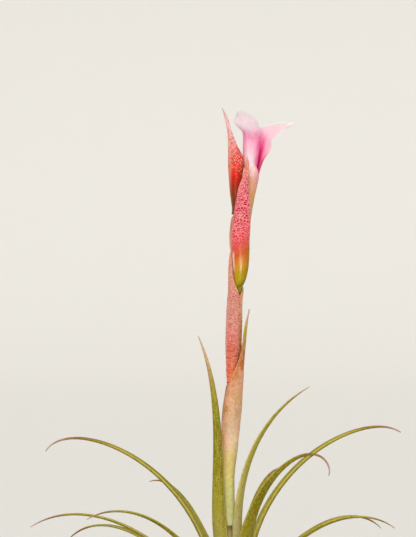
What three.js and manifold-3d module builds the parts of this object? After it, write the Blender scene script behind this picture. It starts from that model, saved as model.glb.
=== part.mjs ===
// A small rosette-forming air plant in flower, standing on its own base.
// Millimetres, +Z up. The origin is the middle of the trimmed flat foot of the stem; the plant is seen
// from -Y with +X to the right. Every leaf, bract, sepal ring and bloom is one curved blade or a few
// blades grown together, and each is worked out from the same two rules: a blade that follows a spine,
// and a sheath that wraps round an upright axis.
import * as THREE from 'three';
import { mergeVertices } from 'three/addons/utils/BufferGeometryUtils.js';
import Module from 'manifold-3d';

const wasm = await Module();
wasm.setup();

// Driving dimensions
const FOOT_GAP = 0.3;            // clearance between a leaf's foot and the stem that carries it
const LEAF_THICKNESS = 0.66;     // succulent blade, at its middle line
const LEAF_HALF_WIDTH = 1.9;     // of the sheathing leaf base
const FLOOR_LEAVES = 7;          // oldest leaves, which arch down and touch the surface
const GOLDEN_ANGLE = 137.5;      // degrees between one leaf and the next round the stem

const COLOURS = {
  stem: { color: 0xb08a5c, roughness: 0.8 },
  leaf: { color: 0x8f9a3f, roughness: 0.75 },
  scapeBractLower: { color: 0xdba57c, roughness: 0.6 },
  scapeBractUpper: { color: 0xd9776f, roughness: 0.6 },
  floralBract: { color: 0xd9485a, roughness: 0.45 },
  sepal: { color: 0xd8b27e, roughness: 0.4 },
  petal: { color: 0xf3a3c8, roughness: 0.5 },
  bud: { color: 0xd9a08a, roughness: 0.5 },
  stamen: { color: 0xf2dd8a, roughness: 0.6 },
};

const radians = THREE.MathUtils.degToRad;

// A smooth curve through [x, value] knots: cubic pieces whose slopes come from the neighbouring knots.
function through(knots) {
  const slope = (i) => {
    const a = knots[Math.max(i - 1, 0)];
    const b = knots[Math.min(i + 1, knots.length - 1)];
    return (b[1] - a[1]) / (b[0] - a[0]);
  };
  return (x) => {
    let i = 0;
    while (i < knots.length - 2 && x > knots[i + 1][0]) i += 1;
    const [x0, y0] = knots[i];
    const [x1, y1] = knots[i + 1];
    const h = x1 - x0;
    const s = THREE.MathUtils.clamp((x - x0) / h, 0, 1);
    const s2 = s * s;
    const s3 = s2 * s;
    return (2 * s3 - 3 * s2 + 1) * y0 + (s3 - 2 * s2 + s) * h * slope(i)
      + (3 * s2 - 2 * s3) * y1 + (s3 - s2) * h * slope(i + 1);
  };
}

// The stem's radius and its gentle S-curve in X, by height. Above 20 it is the scape, then the rachis.
const STEM_TOP = 86.6;
const stemRadius = through([
  [0, 3.2], [1.2, 3.9], [4, 4.0], [8, 3.0], [12, 1.7], [16, 0.9], [22, 0.58],
  [40, 0.5], [48, 0.4], [60, 0.4], [76, 0.36], [83, 0.3], [84, 0.24], [STEM_TOP, 0.2],
]);
const stemX = through([
  [0, 0], [10, 0], [20, -0.5], [31, -0.75], [41, -0.25], [50, 0.2],
  [58, 0.35], [66, 0.42], [72, 0.36], [74.5, 0.24], [77, -0.12], [79, -0.2],
  [81, 0], [82.4, 0.24], [83.4, 0.86], [84.2, 1.02], [STEM_TOP, 0.92],
]);
const stemY = through([[0, 0], [66, 0], [74, 0.36], [78, 0.6], [STEM_TOP, 0.6]]);
const STEM = { from: 0, to: STEM_TOP, x: stemX, y: stemY, radius: stemRadius, sides: 12, steps: 64 };

// The short stalk that leaves the rachis to the right and carries the open flower.
const PEDICEL = {
  from: 65.6, to: 69.3, sides: 8, steps: 4,
  x: through([[65.6, 0.42], [67.2, 0.75], [69.3, 1.4]]),
  y: () => 0.05,
  radius: through([[65.6, 0.2], [66.6, 0.3], [69.3, 0.34]]),
};

// How far from the stem's axis a leaf's middle line starts.
const footRadius = (height) => stemRadius(height) + FOOT_GAP + LEAF_THICKNESS / 2;

// Solids from rings

// One closed solid from rings of points. Each ring holds an outer face of `across` + 1 points and an inner
// face of `across` - 1 points that share their two edges; the end rings are closed by strips.
function solidFromRings(rings, across) {
  const around = 2 * across;
  const index = [];
  rings.slice(1).forEach((_, j) => {
    for (let k = 0; k < around; k += 1) {
      const a = j * around + k;
      const b = j * around + ((k + 1) % around);
      index.push(a, b, b + around, a, b + around, a + around);
    }
  });
  const close = (start, flip) => {
    const inner = (k) => (k === 0 || k === across ? start + k : start + around - k);
    for (let k = 0; k < across; k += 1) {
      const quad = [start + k, start + k + 1, inner(k + 1), inner(k)];
      for (const tri of [[0, 2, 1], [0, 3, 2]]) {
        const ids = tri.map((q) => quad[q]);
        if (new Set(ids).size === 3) index.push(...(flip ? ids.reverse() : ids));
      }
    }
  };
  close(0, false);
  close((rings.length - 1) * around, true);
  const geometry = new THREE.BufferGeometry().setFromPoints(rings.flat()).setIndex(index);
  return geometry;
}

// The signed volume of a closed indexed geometry, by which its winding is checked.
function signedVolume(geometry) {
  const p = geometry.attributes.position;
  const v = [0, 1, 2].map(() => new THREE.Vector3());
  let sum = 0;
  for (let i = 0; i < geometry.index.count; i += 3) {
    v.forEach((c, n) => c.fromBufferAttribute(p, geometry.index.getX(i + n)));
    sum += v[0].dot(v[1].clone().cross(v[2])) / 6;
  }
  return sum;
}

function facingOut(geometry) {
  if (signedVolume(geometry) > 0) return geometry;
  const turned = [];
  for (let i = 0; i < geometry.index.count; i += 3) {
    turned.push(geometry.index.getX(i), geometry.index.getX(i + 2), geometry.index.getX(i + 1));
  }
  return geometry.setIndex(turned);
}

// A ring of a cupped section: an arc of radius `bend` from angle `from` to angle `to` about `centre`,
// in the plane of unit vectors e0 (angle 0) and e1 (angle 90), thick in the middle and sharp at its edges.
function cuppedRing({ centre, e0, e1, bend, from, to, thick, across }) {
  const at = (k, side) => {
    const share = k / across;
    const edge = 1 - (2 * share - 1) ** 4;
    const a = radians(from + (to - from) * share);
    const r = bend + side * edge * thick / 2;
    return centre.clone().addScaledVector(e0, r * Math.cos(a)).addScaledVector(e1, r * Math.sin(a));
  };
  const ring = [];
  for (let k = 0; k <= across; k += 1) ring.push(at(k, 1));
  for (let k = across - 1; k > 0; k -= 1) ring.push(at(k, -1));
  return ring;
}

const X = new THREE.Vector3(1, 0, 0);
const Y = new THREE.Vector3(0, 1, 0);

// A sheath or bract that wraps an upright axis. Its knots give, by height: the centre of the arc (x, y),
// the arc's mean radius, the azimuths of its two margins in degrees, and its thickness.
function sheath({ heights, x, y, bend, from, to, thick, steps, across }) {
  const rings = [];
  for (let j = 0; j <= steps; j += 1) {
    const z = heights[0] + (heights[1] - heights[0]) * j / steps;
    rings.push(cuppedRing({
      centre: new THREE.Vector3(x(z), y(z), z), e0: X, e1: Y,
      bend: bend(z), from: from(z), to: to(z), thick: thick(z), across,
    }));
  }
  return facingOut(solidFromRings(rings, across));
}

// Blades that follow a spine
const SPINE_STEPS = 240;

// The spine of a blade as points and frames. It leaves its foot at `lift` degrees above the horizontal;
// the elevation falls by `bend` evenly and by `curl` towards the tip, as the power `late` of the way along.
// The azimuth swings by `sway` towards the tip, and `lean` tilts the section about the spine. Its radius is
// counted from `axis`, a point [x, y] that may change with the height.
function spineOf(leaf) {
  const { azimuth, height, length, lift, bend, curl, late, sway = 0, lean = 0 } = leaf;
  const { radius = footRadius(height), axis = () => [0, 0] } = leaf;
  const point = new THREE.Vector3(
    radius * Math.cos(radians(azimuth)), radius * Math.sin(radians(azimuth)), height);
  const stations = [];
  for (let i = 0; i <= SPINE_STEPS; i += 1) {
    const t = i / SPINE_STEPS;
    const up = radians(lift - bend * t - curl * t ** late);
    const az = radians(azimuth + sway * t * t);
    const out = new THREE.Vector3(Math.cos(az), Math.sin(az), 0);
    const along = out.clone().multiplyScalar(Math.cos(up)).setZ(Math.sin(up));
    const face = out.clone().multiplyScalar(-Math.sin(up)).setZ(Math.cos(up));
    face.applyAxisAngle(along, radians(lean * t));
    const [axisX, axisY] = axis(point.z);
    const place = point.clone().add(new THREE.Vector3(axisX, axisY, 0));
    stations.push({ t, point: place, along, face, side: along.clone().cross(face) });
    point.addScaledVector(along, length / SPINE_STEPS);
  }
  return stations;
}

// A blade along its spine: `width` and `cup` give the half width and the half angle of the arc, `thick`
// its thickness, each by the share of the way along.
function blade(leaf, { width, cup, thick }, steps, across) {
  const spine = spineOf(leaf);
  const rings = [];
  for (let j = 0; j <= steps; j += 1) {
    const { t, point, face, side } = spine[Math.round(j * SPINE_STEPS / steps)];
    const half = cup(t);
    const bend = width(t) / Math.sin(radians(half));
    rings.push(cuppedRing({
      centre: point.clone().addScaledVector(face, bend), e0: face.clone().negate(), e1: side,
      bend, from: -half, to: half, thick: thick(t), across,
    }));
  }
  return facingOut(solidFromRings(rings, across));
}

// The rosette
const leafWidth = through([
  [0, 0.9], [0.06, 1], [0.15, 0.92], [0.3, 0.7], [0.45, 0.52], [0.7, 0.32], [0.9, 0.15], [1, 0.05],
]);
const leafThickness = through([[0, 0.9], [0.1, 1], [0.5, 0.92], [0.8, 0.66], [1, 0.25]]);

function leafSection(leaf) {
  const footShare = Math.min(0.85, leaf.halfWidth / footRadius(leaf.height));
  const footCup = THREE.MathUtils.radToDeg(Math.asin(footShare));
  const cup = through([[0, footCup], [0.2, 38], [0.5, 30], [1, 24]]);
  return {
    width: (t) => leaf.halfWidth * leafWidth(t),
    cup,
    thick: (t) => LEAF_THICKNESS * leafThickness(t),
  };
}

const LEAF_STEPS = 15;
const LEAF_ACROSS = 4;
const leafSolid = (leaf) => blade(leaf, leafSection(leaf), LEAF_STEPS, LEAF_ACROSS);

// The five leaves that rise highest, as they stand in the picture: two erect ones beside the scape, one
// arching to each side, and one that comes forward on the right and hooks its tip down.
const TALL_LEAVES = [
  { name: 'leaf_left_erect', azimuth: 222, height: 12.6, length: 47.7,
    lift: 70.5, bend: -160, curl: 174, late: 1.5, sway: 7, lean: 70, halfWidth: 2 },
  { name: 'leaf_right_erect', azimuth: -31, height: 11.8, length: 42.9,
    lift: 100, bend: 30, curl: 41.6, late: 1.5, sway: 7.5, lean: -28, halfWidth: 1.7 },
  { name: 'leaf_left_arch', azimuth: 163, height: 8.8, length: 52.3,
    lift: 81.6, bend: 86.9, curl: 52.8, late: 11.8, sway: 1, lean: 0, halfWidth: 1.7 },
  { name: 'leaf_right_arch', azimuth: 10, height: 9.4, length: 50.8,
    lift: 89.3, bend: 92, curl: 30, late: 12, sway: 14, lean: 0, halfWidth: 1.8 },
  { name: 'leaf_right_near', azimuth: -52, height: 8.4, length: 44.6,
    lift: 94.1, bend: 89.8, curl: 123.6, late: 12, sway: 8, lean: -10, halfWidth: 2.1 },
];

// A repeatable value between -1 and 1 for the n-th leaf, so that no two leaves are alike.
const vary = (n, salt) => {
  const s = Math.sin(n * 12.9898 + salt * 78.233) * 43758.5453;
  return 2 * (s - Math.floor(s)) - 1;
};

// Lifts an old leaf until its lowest point just touches the surface.
function settleOnFloor(leaf) {
  let low = leaf.lift - 40;
  let high = leaf.lift + 40;
  for (let i = 0; i < 40; i += 1) {
    const lift = (low + high) / 2;
    const geometry = leafSolid({ ...leaf, lift });
    geometry.computeBoundingBox();
    if (geometry.boundingBox.min.z < 0) low = lift;
    else high = lift;
  }
  return { ...leaf, lift: high };
}

// The shorter leaves by rule, from the youngest at the top of the stem to the oldest at its foot: each
// stands a golden angle further round, lower, further out, flatter and longer than the one before.
const RULE_LEAVES = 24;
function ruleLeaf(n) {
  const age = n / (RULE_LEAVES - 1);
  const height = 12.2 - 10.6 * age ** 0.62;
  const leaf = {
    name: `leaf_${String(n + 1).padStart(2, '0')}`,
    azimuth: 100 + n * GOLDEN_ANGLE + 5 * vary(n, 1),
    height,
    length: (22 + 29 * age ** 0.6) * (1 + 0.07 * vary(n, 2)),
    lift: 72 - 40 * age + 4 * vary(n, 3),
    bend: 30 + 26 * age + 8 * vary(n, 4),
    curl: 42 + 14 * vary(n, 5),
    late: 3.2,
    sway: 12 * vary(n, 6),
    lean: 16 * vary(n, 7),
    halfWidth: LEAF_HALF_WIDTH * (0.86 + 0.14 * age),
  };
  return n >= RULE_LEAVES - FLOOR_LEAVES ? settleOnFloor(leaf) : leaf;
}

// The scape and its spike

// The lower scape bract: a pale sheath, swollen at its middle, whose margins draw apart on the left and
// run up to a narrow green blade on the right.
const LOWER_BRACT = {
  steps: 26,
  across: 12,
  heights: [21, 64.2],
  x: through([
    [21, -0.55], [31, -0.78], [37, -0.5], [41.6, -0.31], [46, 0.12], [50, 0.46], [52.8, 0.54],
    [55, 0.62], [57, 0.71], [59.8, 0.88], [62, 1.3], [64.2, 1.9],
  ]),
  y: through([[21, 0], [50, 0.05], [64.2, 0.15]]),
  bend: through([
    [21, 1.02], [27, 1.04], [31, 1.1], [36, 1.45], [41.6, 1.76], [45, 1.77], [48, 1.61], [52, 1.62],
    [55, 1.72], [57, 1.83], [59.8, 1.95], [62, 1.78], [64.2, 1.58],
  ]),
  from: through([
    [21, -160], [47, -164], [48.9, -136], [51.5, -99], [53.4, -72], [55.2, -50], [57, -36], [59, -25],
    [61.4, -15], [64.2, -4],
  ]),
  to: through([
    [21, 186], [47, 184], [48.9, 158], [51.5, 120], [53.4, 92], [55.2, 66], [57, 47], [59, 32],
    [61.4, 19], [64.2, 6],
  ]),
  thick: through([[21, 0.4], [31, 0.45], [41, 0.5], [50, 0.5], [55, 0.46], [59, 0.38], [64.2, 0.24]]),
};

// The upper scape bract: a rosy scaly sheath, open on the right where the first flower comes out, with its
// tip lying against that flower's bract on the left.
const UPPER_BRACT = {
  steps: 20,
  across: 12,
  heights: [47.2, 75.8],
  x: through([
    [47.2, 0.15], [51, 0.14], [55, 0.26], [60, 0.38], [66, 0.56], [68, 0.86], [70, 0.82], [72, 0.7],
    [74, 0.52], [75.8, 0.42],
  ]),
  y: through([[47.2, 0], [66, 0], [70, 0.1], [75.8, 0.15]]),
  bend: through([
    [47.2, 0.8], [50, 0.93], [53, 1.11], [56, 1.23], [60, 1.28], [66, 1.2], [68, 1.31], [70, 1.28],
    [72, 1.14], [74, 0.98], [75.8, 0.8],
  ]),
  from: through([
    [47.2, -58], [65, -58], [66.8, -46], [68, -28], [68.9, 10], [69.9, 60], [72, 100], [74, 150],
    [75.8, 208],
  ]),
  to: through([
    [47.2, 298], [65, 298], [67.2, 292], [68.7, 268], [70.5, 247], [72, 242], [74, 240], [75.8, 226],
  ]),
  thick: through([[47.2, 0.44], [54, 0.56], [66, 0.56], [73, 0.5], [75.8, 0.3]]),
};

// The first flower's bract: a half tube facing front, drawn to a point at its foot and at its tip.
const FRONT_BRACT = {
  steps: 20,
  across: 10,
  heights: [67.6, 94.8],
  x: through([
    [67.6, 1.4], [68.4, 1.4], [69.2, 1.52], [71.5, 1.75], [74, 1.78], [78, 1.72], [82, 1.94],
    [86, 2.22], [88.4, 2.32], [90, 2.6], [92, 2.92], [94.8, 3.15],
  ]),
  y: through([
    [67.6, -0.8], [69.2, -0.85], [71.5, -0.68], [75, -0.6], [82, -0.6], [88, -0.62], [92, -0.7],
    [94.8, -0.66],
  ]),
  bend: through([
    [67.6, 0.16], [68.3, 0.36], [69, 0.62], [70, 0.95], [72, 1.34], [75, 1.64], [78, 1.76],
    [82, 1.76], [86, 1.36], [88.4, 1.0], [90, 0.66], [92, 0.4], [94.8, 0.16],
  ]),
  from: through([[67.6, -215], [70, -198], [73, -186], [78, -178], [94.8, -176]]),
  to: through([[67.6, 35], [70, 12], [73, 2], [78, -3], [82, -7], [86, -10], [90, -8], [94.8, -4]]),
  thick: through([[67.6, 0.2], [68.4, 0.34], [70, 0.52], [88, 0.52], [91, 0.4], [94.8, 0.2]]),
};

// The second flower's bract: a rolled cone on the left, glossy and round below, with its margins drawing
// apart into a channelled point above.
const LEFT_BRACT = {
  steps: 20,
  across: 12,
  heights: [83.1, 104.4],
  x: through([
    [83.1, 0.68], [84.1, 0.92], [85.6, 0.9], [87.4, 0.78], [90, 0.82], [93.3, 0.97], [94.3, 0.93],
    [95.5, 0.68], [96.8, 0.31], [98.9, -0.16], [100.5, -0.57], [103.1, -1.25], [104.4, -1.82],
  ]),
  y: through([[83.1, 0.6], [88, 0.6], [93.4, 0.7], [98, 0.4], [104.4, 0.1]]),
  bend: through([
    [83.1, 0.66], [84.1, 0.76], [85.6, 0.88], [87.4, 0.98], [90, 1.22], [93.3, 1.55], [94.3, 1.48],
    [95.5, 1.25], [96.8, 0.89], [98.9, 0.52], [100.5, 0.34], [103.1, 0.26], [104.4, 0.1],
  ]),
  from: through([[83.1, 45], [93, 40], [96, 60], [99, 80], [102, 95], [104.4, 150]]),
  to: through([
    [83.1, 325], [88, 334], [93, 350], [96, 340], [99, 328], [102.6, 320], [103.4, 270], [104.4, 235],
  ]),
  thick: through([
    [83.1, 0.26], [84.4, 0.34], [87, 0.42], [93, 0.5], [97, 0.44], [101, 0.32], [104.4, 0.18],
  ]),
};

// The open flower

// Its axis leans to the right out of the front bract: centre by height.
const flowerX = through([
  [69.4, 1.45], [71, 1.74], [73, 1.94], [76, 2.14], [80, 2.46], [83, 2.78], [86, 3.28], [88.4, 3.76],
  [90.6, 4.15], [92.6, 4.4], [96, 4.5],
]);
const flowerY = through([[69.4, 0.1], [76, 0.25], [83, 0.5], [88.4, 0.62], [96, 0.6]]);

// Three sepals grown together below and free above; the front one's tip is drawn to the left.
const CALYX_FOOT = 69.6;
const calyxRadius = through([
  [CALYX_FOOT, 0.42], [72, 0.74], [78, 0.9], [84, 0.97], [88, 1.02], [91, 1.26], [94, 1.6],
]);
const SEPALS = [
  { azimuth: 285, tip: 236, top: 94 },
  { azimuth: 45, tip: 45, top: 92 },
  { azimuth: 165, tip: 165, top: 93.2 },
];

function sepal({ azimuth, tip, top }) {
  const margin = (side) => through([
    [CALYX_FOOT, azimuth + side * 66], [top - 5.5, azimuth + side * 64],
    [top - 2.6, (2 * azimuth + tip) / 3 + side * 52], [top, tip + side * 5],
  ]);
  return sheath({
    heights: [CALYX_FOOT, top], steps: 12, across: 6,
    x: flowerX, y: flowerY, bend: calyxRadius, from: margin(-1), to: margin(1),
    thick: through([[CALYX_FOOT, 0.3], [72, 0.4], [88, 0.42], [top, 0.25]]),
  });
}

// Booleans

function toManifold(geometry) {
  const merged = mergeVertices(geometry, 1e-4);
  return new wasm.Manifold(new wasm.Mesh({
    numProp: 3,
    vertProperties: merged.attributes.position.array,
    triVerts: new Uint32Array(merged.index.array),
  }));
}

function toGeometry(solid) {
  const mesh = solid.getMesh();
  const geometry = new THREE.BufferGeometry();
  geometry.setAttribute('position', new THREE.BufferAttribute(mesh.vertProperties, 3));
  return geometry.setIndex(new THREE.BufferAttribute(mesh.triVerts, 1));
}

const grownTogether = (geometries) => toGeometry(geometries.map(toManifold).reduce((a, b) => a.add(b)));

// Bodies of revolution along a bent axis

// A rod of round section between two heights: its centre (x, y) and radius are functions of the height.
function bentRod({ from, to, radius, x, y, sides, steps }) {
  const rod = new THREE.CylinderGeometry(1, 1, to - from, sides, steps);
  rod.rotateX(Math.PI / 2);
  rod.deleteAttribute('normal');
  rod.deleteAttribute('uv');
  const p = rod.attributes.position;
  for (let i = 0; i < p.count; i += 1) {
    const z = p.getZ(i) + (from + to) / 2;
    p.setXYZ(i, x(z) + radius(z) * p.getX(i), y(z) + radius(z) * p.getY(i), z);
  }
  return mergeVertices(rod, 1e-4);
}

// The next flower, still a closed bud inside the left bract.
const FLOWER_BUD = {
  from: 86.9, to: 97.4, sides: 12, steps: 12, x: LEFT_BRACT.x, y: LEFT_BRACT.y,
  radius: through([[86.9, 0.28], [89, 0.6], [92, 0.92], [94, 0.84], [96.2, 0.4], [97.4, 0.12]]),
};

// Petals: a claw in the tube and a limb that spreads
const PETAL_FOOT = 88.4;
const petalSection = (halfWidth) => ({
  width: through([
    [0, 0.36], [0.2, 0.56], [0.35, 1.05], [0.5, 1.75], [0.65, 0.94 * halfWidth], [0.8, halfWidth],
    [0.92, 0.78 * halfWidth], [1, 0.3 * halfWidth],
  ]),
  cup: through([[0, 58], [0.3, 56], [0.5, 46], [0.7, 20], [1, 12]]),
  thick: through([[0, 0.5], [0.5, 0.56], [0.9, 0.5], [1, 0.3]]),
});
const PETALS = [
  { azimuth: 246, lift: 86, bend: 20, curl: 14, late: 3, length: 16, sway: -48, lean: 4, halfWidth: 2.7 },
  { azimuth: 4, lift: 86, bend: 31, curl: 50, late: 3, length: 16, sway: 8, lean: 50, halfWidth: 2.3 },
  { azimuth: 122, lift: 86, bend: 20, curl: 66, late: 3, length: 15.4, sway: -46, lean: 0, halfWidth: 2.2 },
];
const PETAL_STEPS = 14;
const PETAL_ACROSS = 6;
function petal(shape) {
  const leaf = { ...shape, radius: 0.3, height: PETAL_FOOT, axis: (z) => [flowerX(z), flowerY(z)] };
  return blade(leaf, petalSection(shape.halfWidth), PETAL_STEPS, PETAL_ACROSS);
}

// The lower part of the petals, rolled into one slim core inside the calyx.
const TUBE_TOP = PETAL_FOOT + 1.6;
const COROLLA_TUBE = {
  from: 71, to: TUBE_TOP, sides: 10, steps: 12, x: flowerX, y: flowerY,
  radius: through([[71, 0.3], [86, 0.36], [PETAL_FOOT, 0.5], [TUBE_TOP, 0.62]]),
};

// A style in the throat with its anthers held close round it.
const STYLE = {
  from: 92.6, to: 97.2, sides: 8, steps: 4, x: flowerX, y: flowerY,
  radius: through([[92.6, 0.2], [96, 0.24], [97.2, 0.16]]),
};
const ANTHERS = 6;
const ANTHER_TURN = 15;          // degrees by which the first anther stands off the row's X axis
function anther(n) {
  const round = radians(360 * n / ANTHERS + ANTHER_TURN);
  const out = through([[93.4, 0.12], [95, 0.42], [96.6, 0.5]]);
  return bentRod({
    from: 93.4, to: 96.6, sides: 6, steps: 6,
    x: (z) => flowerX(z) + out(z) * Math.cos(round), y: (z) => flowerY(z) + out(z) * Math.sin(round),
    radius: through([[93.4, 0.1], [95, 0.14], [95.6, 0.26], [96.3, 0.26], [96.6, 0.1]]),
  });
}

// Materials and assembly

const plant = new THREE.Group();
function add(name, geometry, look) {
  const finish = new THREE.MeshStandardMaterial({ metalness: 0, side: THREE.DoubleSide, ...look });
  const mesh = new THREE.Mesh(geometry, finish);
  mesh.name = name;
  plant.add(mesh);
}

add('stem', grownTogether([STEM, PEDICEL].map(bentRod)), COLOURS.stem);

// The tall leaves take the second to the fifth place of the spiral, so the rule leaves them out.
for (const leaf of TALL_LEAVES) add(leaf.name, leafSolid(leaf), COLOURS.leaf);
for (let n = 0; n < RULE_LEAVES; n += 1) {
  if (n > 0 && n < TALL_LEAVES.length) continue;
  const leaf = ruleLeaf(n);
  add(leaf.name, leafSolid(leaf), COLOURS.leaf);
}

add('scape_bract_lower', sheath(LOWER_BRACT), COLOURS.scapeBractLower);
add('scape_bract_upper', sheath(UPPER_BRACT), COLOURS.scapeBractUpper);
add('floral_bract_front', sheath(FRONT_BRACT), COLOURS.floralBract);
add('floral_bract_left', sheath(LEFT_BRACT), COLOURS.floralBract);
add('flower_bud', bentRod(FLOWER_BUD), COLOURS.bud);

add('calyx', grownTogether(SEPALS.map(sepal)), COLOURS.sepal);
add('corolla', grownTogether([bentRod(COROLLA_TUBE), ...PETALS.map(petal)]), COLOURS.petal);
const anthers = Array.from({ length: ANTHERS }, (_, n) => anther(n));
add('stamens', grownTogether([bentRod(STYLE), ...anthers]), COLOURS.stamen);

export default plant;
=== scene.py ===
"""A small air plant in flower, dressed for the studio.

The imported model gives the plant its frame. Every leaf, bract, sepal and petal is made again here from the
same rules as its solid, finer and with its own relief, scales and colours. Lengths are in millimetres
until a mesh is made, and in metres after that. The plant is seen from -Y, with +X to the right.
"""

import logging
import math
from dataclasses import dataclass, replace
from enum import Enum
from typing import Callable, Sequence

import bpy
import numpy as np
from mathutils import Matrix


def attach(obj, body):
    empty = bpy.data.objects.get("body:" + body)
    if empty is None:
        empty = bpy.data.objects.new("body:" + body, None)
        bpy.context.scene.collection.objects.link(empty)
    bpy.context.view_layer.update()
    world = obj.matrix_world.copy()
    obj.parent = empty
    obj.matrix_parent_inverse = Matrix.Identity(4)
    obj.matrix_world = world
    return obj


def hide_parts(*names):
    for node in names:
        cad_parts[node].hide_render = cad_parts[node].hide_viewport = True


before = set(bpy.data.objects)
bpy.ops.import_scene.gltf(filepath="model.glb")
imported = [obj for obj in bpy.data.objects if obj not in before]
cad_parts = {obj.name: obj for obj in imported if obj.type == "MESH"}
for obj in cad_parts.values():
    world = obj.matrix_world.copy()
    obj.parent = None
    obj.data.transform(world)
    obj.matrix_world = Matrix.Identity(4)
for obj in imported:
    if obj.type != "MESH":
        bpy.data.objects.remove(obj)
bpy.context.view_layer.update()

MM = 0.001
LATTICE_CELLS = 32
LOG = logging.getLogger("air_plant")

# The form of a shield scale: its number of sides, and the rest in shares of its radius
SCALE_SIDES = 6
SCALE_SIZES = (0.7, 1.3)
SCALE_LENGTH = 1.15
RIM_LIFT = 0.1
RIM_TILT = 0.16
APEX_HEIGHT = 0.34
APEX_DEPTH = 0.3

Array = np.ndarray
Knots = tuple[tuple[float, float], ...]


# Curves and noise


@dataclass(frozen=True)
class Profile:
    """A smooth curve through (x, value) knots: cubic pieces whose slopes come from nearby knots."""

    knots: Knots

    def __call__(self, x: Array) -> Array:
        """Gives the curve's value at each x.

        Each piece is the cubic Hermite polynomial between two knots; the slope at a knot is the rise over
        the run between its two neighbours, and at an end between the knot and its one neighbour.

        Args:
            x: places along the curve, any shape.

        Returns:
            The values, in the shape of x.
        """
        xs, ys = np.array(self.knots, float).T
        last = len(xs) - 1
        place = np.arange(last + 1)
        before, after = np.maximum(place - 1, 0), np.minimum(place + 1, last)
        slope = (ys[after] - ys[before]) / (xs[after] - xs[before])
        i = np.clip(np.searchsorted(xs, x) - 1, 0, last - 1)
        run = xs[i + 1] - xs[i]
        s = np.clip((x - xs[i]) / run, 0, 1)
        rise = s * s * (3 - 2 * s)
        return (
            (1 - rise) * ys[i]
            + rise * ys[i + 1]
            + (s**3 - 2 * s**2 + s) * run * slope[i]
            + (s**3 - s**2) * run * slope[i + 1]
        )


def level(value: float) -> Profile:
    """Gives a curve that has the same value everywhere."""
    return Profile(((0, value), (1, value)))


def smooth_step(x: Array) -> Array:
    """Eases from 0 to 1 as x goes from 0 to 1, flat at both ends."""
    s = np.clip(x, 0, 1)
    return s * s * (3 - 2 * s)


def cloud(points: Array, cell: float, seed: int) -> Array:
    """Gives a soft random height between -1 and 1 at each point.

    Random values stand on a cubic lattice that repeats, and each point takes the eased mean of the eight
    lattice values round it.

    Args:
        points: places in millimetres, last axis x, y, z.
        cell: the size of a lattice cell in millimetres.
        seed: picks the lattice.

    Returns:
        One height for each point.
    """
    lattice = np.random.default_rng(seed).uniform(-1, 1, [LATTICE_CELLS] * 3)
    at = points / cell
    low = np.floor(at).astype(int)
    share = smooth_step(at - low)
    total = np.zeros(points.shape[:-1])
    for corner in np.ndindex(2, 2, 2):
        step = np.array(corner)
        weight = np.prod(np.where(step == 1, share, 1 - share), axis=-1)
        i, j, k = np.moveaxis((low + step) % LATTICE_CELLS, -1, 0)
        total += weight * lattice[i, j, k]
    return total


def unit(vectors: Array) -> Array:
    """Brings each vector on the last axis to length 1."""
    length = np.linalg.norm(vectors, axis=-1, keepdims=True)
    return vectors / np.maximum(length, 1e-12)


# Meshes


@dataclass
class Patch:
    """A part of a piece's mesh as arrays: points, faces, and what the materials read at each point.

    The UV values are the shares across and along the surface. The inner value is 0 on an outer face, 1 on
    an inner face and a half where they meet.
    """

    points: Array
    faces: list[tuple[int, ...]]
    uv: Array
    inner: Array
    slot: int = 0
    smooth: bool = True

    def volume(self) -> float:
        """Adds up the signed volumes of the cones from the origin over the faces.

        Returns:
            The enclosed volume, negative where the faces point inwards.
        """
        fans = [(f[0], a, b) for f in self.faces for a, b in zip(f[1:-1], f[2:])]
        a, b, c = np.moveaxis(self.points[np.array(fans)], 1, 0)
        return float(np.einsum("ij,ij->i", a, np.cross(b, c)).sum() / 6)

    def facing_out(self) -> "Patch":
        """Turns every face over if they point inwards.

        Returns:
            The patch itself.
        """
        if self.volume() < 0:
            self.faces = [f[::-1] for f in self.faces]
        return self


def put_in(name: str, data: bpy.types.ID) -> bpy.types.Object:
    """Puts new data into the scene as an object at the origin.

    Args:
        name: the object's name.
        data: its mesh, light or camera.

    Returns:
        The new object.
    """
    thing = bpy.data.objects.new(name, data)
    bpy.context.scene.collection.objects.link(thing)
    return thing


def make_piece(
    name: str, patches: Sequence[Patch], materials: Sequence[bpy.types.Material]
) -> bpy.types.Object:
    """Joins patches into one object at the origin.

    Args:
        name: the piece's name.
        patches: the parts of its mesh, in millimetres.
        materials: its finishes; a patch's slot picks one.

    Returns:
        The new object, linked into the scene.
    """
    starts = np.cumsum([0] + [len(p.points) for p in patches])
    points = np.concatenate([p.points for p in patches]) * MM
    faces = [tuple(i + int(s) for i in f) for p, s in zip(patches, starts) for f in p.faces]
    mesh = bpy.data.meshes.new(name)
    mesh.from_pydata(points.tolist(), [], faces)
    for material in materials:
        mesh.materials.append(material)
    counts = [len(p.faces) for p in patches]
    slots = np.repeat([p.slot for p in patches], counts)
    mesh.polygons.foreach_set("material_index", slots.astype(np.int32))
    mesh.polygons.foreach_set("use_smooth", np.repeat([p.smooth for p in patches], counts))
    corner = np.zeros(len(mesh.loops), np.int32)
    mesh.loops.foreach_get("vertex_index", corner)
    uv = np.concatenate([p.uv for p in patches])
    mesh.uv_layers.new(name="surface").data.foreach_set("uv", uv[corner].astype(np.float32).ravel())
    inner = mesh.attributes.new("inner", "FLOAT", "POINT")
    inner.data.foreach_set("value", np.concatenate([p.inner for p in patches]).astype(np.float32))
    mesh.update()
    return put_in(name, mesh)


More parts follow.
